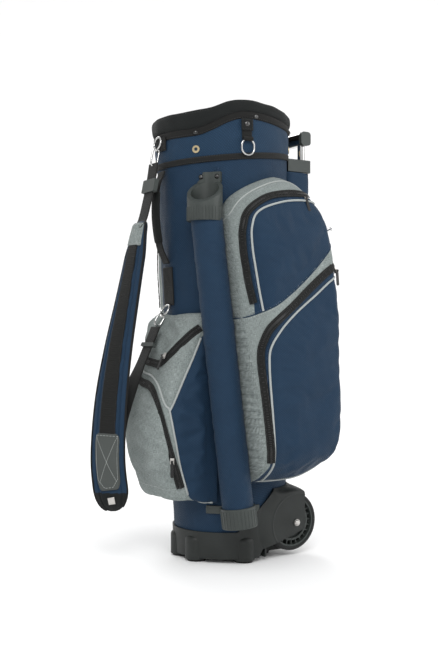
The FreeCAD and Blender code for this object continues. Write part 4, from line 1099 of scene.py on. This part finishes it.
# ---------------------------------------------------------------- pull handle sleeve
def pole_sleeves():
    """Two fabric channels down the back of the bag, each wrapped round a pole."""
    for side in (1, -1):
        z = np.linspace(.1965, .7725, 130)[:, None]
        turn = np.linspace(0, math.pi, 40)[None]
        s = np.sin(turn)
        y = POLE_Y - .0175 * rounded(np.cos(turn), 0.75) + 0 * z
        centre, a, b = section(z)
        inner = centre + a * np.sqrt(np.clip(1 - (y / b) ** 2, 0, 1)) - .003
        x = inner + (POLE_X + .0150 - inner) * s ** 0.55
        flat = np.stack([x, side * y, np.broadcast_to(z, x.shape)], -1)
        relief = .0012 * waves(flat * [1, 1, 0.5], .05, 70 + side) + .0007 * waves(flat, .028, 72 + side)
        flat[..., 0] += np.minimum(relief * s ** 0.5, .0015)
        first, last = (row * [0, 0, 1] + row.mean(1, keepdims=True) * [1, 1, 0]
                       for row in (flat[:1], flat[-1:]))
        shell = np.concatenate([first, flat, last])
        place(grid("pole_sleeve_%d" % (side + 1), shell, NAVY, wrap=True, flip=side > 0))
        out = np.tile([0.7, -side * 0.7, 0.0], (len(flat), 1))
        stitch_row("sleeve_stitches_%d" % (side + 1), flat[:, 6], out, THREAD_BLUE)
    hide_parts("handle_sleeve")


# ---------------------------------------------------------------- moulded fenders
def fender(sign, node):
    """Fender that swells smoothly out of the base round a wheel."""
    edge = np.array(BASE_EDGE)
    x = np.linspace(-.024, FENDER_REAR, 120)[None]
    top = np.interp(x, edge[:, 0], edge[:, 1]) + .001
    low = np.where(x < 0, .022, .022 + x / FENDER_REAR * .033)
    share = np.linspace(0, 1, 120)[:, None] ** 0.8
    z = top - (top - low) * share
    x = np.broadcast_to(x, z.shape)
    dx, dz = x - WHEEL_X, z - WHEEL_Z
    r = np.hypot(dx, dz)
    up = np.maximum(np.sin(np.arctan2(dz, dx)), 0.05)
    reach = np.clip((edge[-1, 1] - WHEEL_Z) / up, 0, .088)
    t = np.clip((r - FENDER_RING) / (reach - FENDER_RING), 0, 1)
    swell = np.where(r < FENDER_RING, 1.0, 1 - t ** 2.3)
    inner = half_width(x, z) + .0037
    ridge = .0011 * np.exp(-((r - .0575) / .0014) ** 2)
    y = inner + (FENDER_Y - inner) * swell + ridge * (swell > 0.98)
    outer = np.stack([x, sign * y, z], -1)
    loop = lined(outer, outer - np.array([0, sign, 0.0]) * .0024)
    place(grid("fender_" + node.rsplit("_", 1)[1], loop, SLOTS["base_plastic"], flip=sign < 0),
          instead_of=[node])


def grip_spring():
    """Return spring under the release button, on a mesh of its own."""
    climb = np.linspace(.8369, .8471, 200)
    turn = 2 * math.pi * (climb - climb[0]) / .0026
    spoke = np.stack([np.cos(turn), np.sin(turn), 0 * turn], -1)
    line = spoke * .0034 + np.stack([0 * climb + POLE_X, 0 * climb, climb], -1)
    made = place(tube("grip_spring", line, .00055, SLOTS["spring_steel"], out=spoke),
                 "handle_stage_2", ["release_spring"])
    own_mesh(made)


# ---------------------------------------------------------------- stage, light and camera
def stage_and_light():
    """Pale floor that curves up into a wall, even surrounding light and three soft lamps."""
    floor_mat, shader = new_material("pale floor", 0.9)
    shader.inputs["Base Color"].default_value = (.93, .93, .93, 1)
    u = np.linspace(-3.5, 3.5, 12)
    bend = np.linspace(0.1, 1.57, 12)
    v = np.concatenate([np.linspace(-3.5, 2.6, 12), 2.6 + .9 * np.sin(bend), np.full(6, 3.5)])
    z = np.concatenate([np.zeros(12), .9 - .9 * np.cos(bend), np.linspace(1.2, 4.0, 6)])
    c, s = math.cos(VIEW_TURN), math.sin(VIEW_TURN)
    side, back = np.array([c, s, 0]), np.array([-s, c, 0])
    points = u[None, :, None] * side + v[:, None, None] * back + z[:, None, None] * np.array([0, 0, 1.0])
    grid("pale_floor", points, floor_mat)
    world = bpy.data.worlds.new("studio")
    world.use_nodes = True
    world.node_tree.nodes["Background"].inputs["Color"].default_value = (1, 1, 1, 1)
    world.node_tree.nodes["Background"].inputs["Strength"].default_value = 0.85
    bpy.context.scene.world = world
    for name, spot, size, power in (("key light", (-1.6, -2.4, 2.6), 1.6, 60.0),
                                    ("fill light", (2.2, -2.0, 1.6), 2.0, 26.0),
                                    ("rim light", (0.4, 2.2, 2.4), 1.6, 34.0)):
        light = bpy.data.lights.new(name, "AREA")
        light.size, light.energy = size, power
        lamp = bpy.data.objects.new(name, light)
        lamp.location = spot
        lamp.rotation_euler = (Vector((0, 0, 0.45)) - lamp.location).to_track_quat("-Z", "Y").to_euler()
        bpy.context.scene.collection.objects.link(lamp)


def camera():
    """Level camera in front of the near corner of the bag, two metres away."""
    toward = Vector((math.sin(VIEW_TURN), -math.cos(VIEW_TURN), 0))
    right = Vector((math.cos(VIEW_TURN), math.sin(VIEW_TURN), 0))
    lens = bpy.data.cameras.new("camera")
    lens.sensor_width = 36.0
    lens.lens = 53.5
    eye = bpy.data.objects.new("camera", lens)
    eye.location = toward * 2.0 - right * 0.0225 + Vector((0, 0, 0.452))
    eye.rotation_euler = (-toward).to_track_quat("-Z", "Y").to_euler()
    bpy.context.scene.collection.objects.link(eye)
    bpy.context.scene.camera = eye
    bpy.context.scene.view_settings.view_transform = "Standard"


# ---------------------------------------------------------------- the whole bag
dress_cad_nodes()
body_cloth()
cuff()
bands()
collar()
dividers()
side_pocket("near_cloth", "side_pocket_near", -1, 30)
side_pocket("far_cloth", "side_pocket_far", 1, 34)
front_pocket()
putter_sleeve()
towel_tab()
grab_handle()
anchors()
strap_pad()
pad_trim()
strap_webbing()
pole_sleeves()
fender(-1, "wheel_housing_near")
fender(1, "wheel_housing_far")
grip_spring()
stage_and_light()
camera()
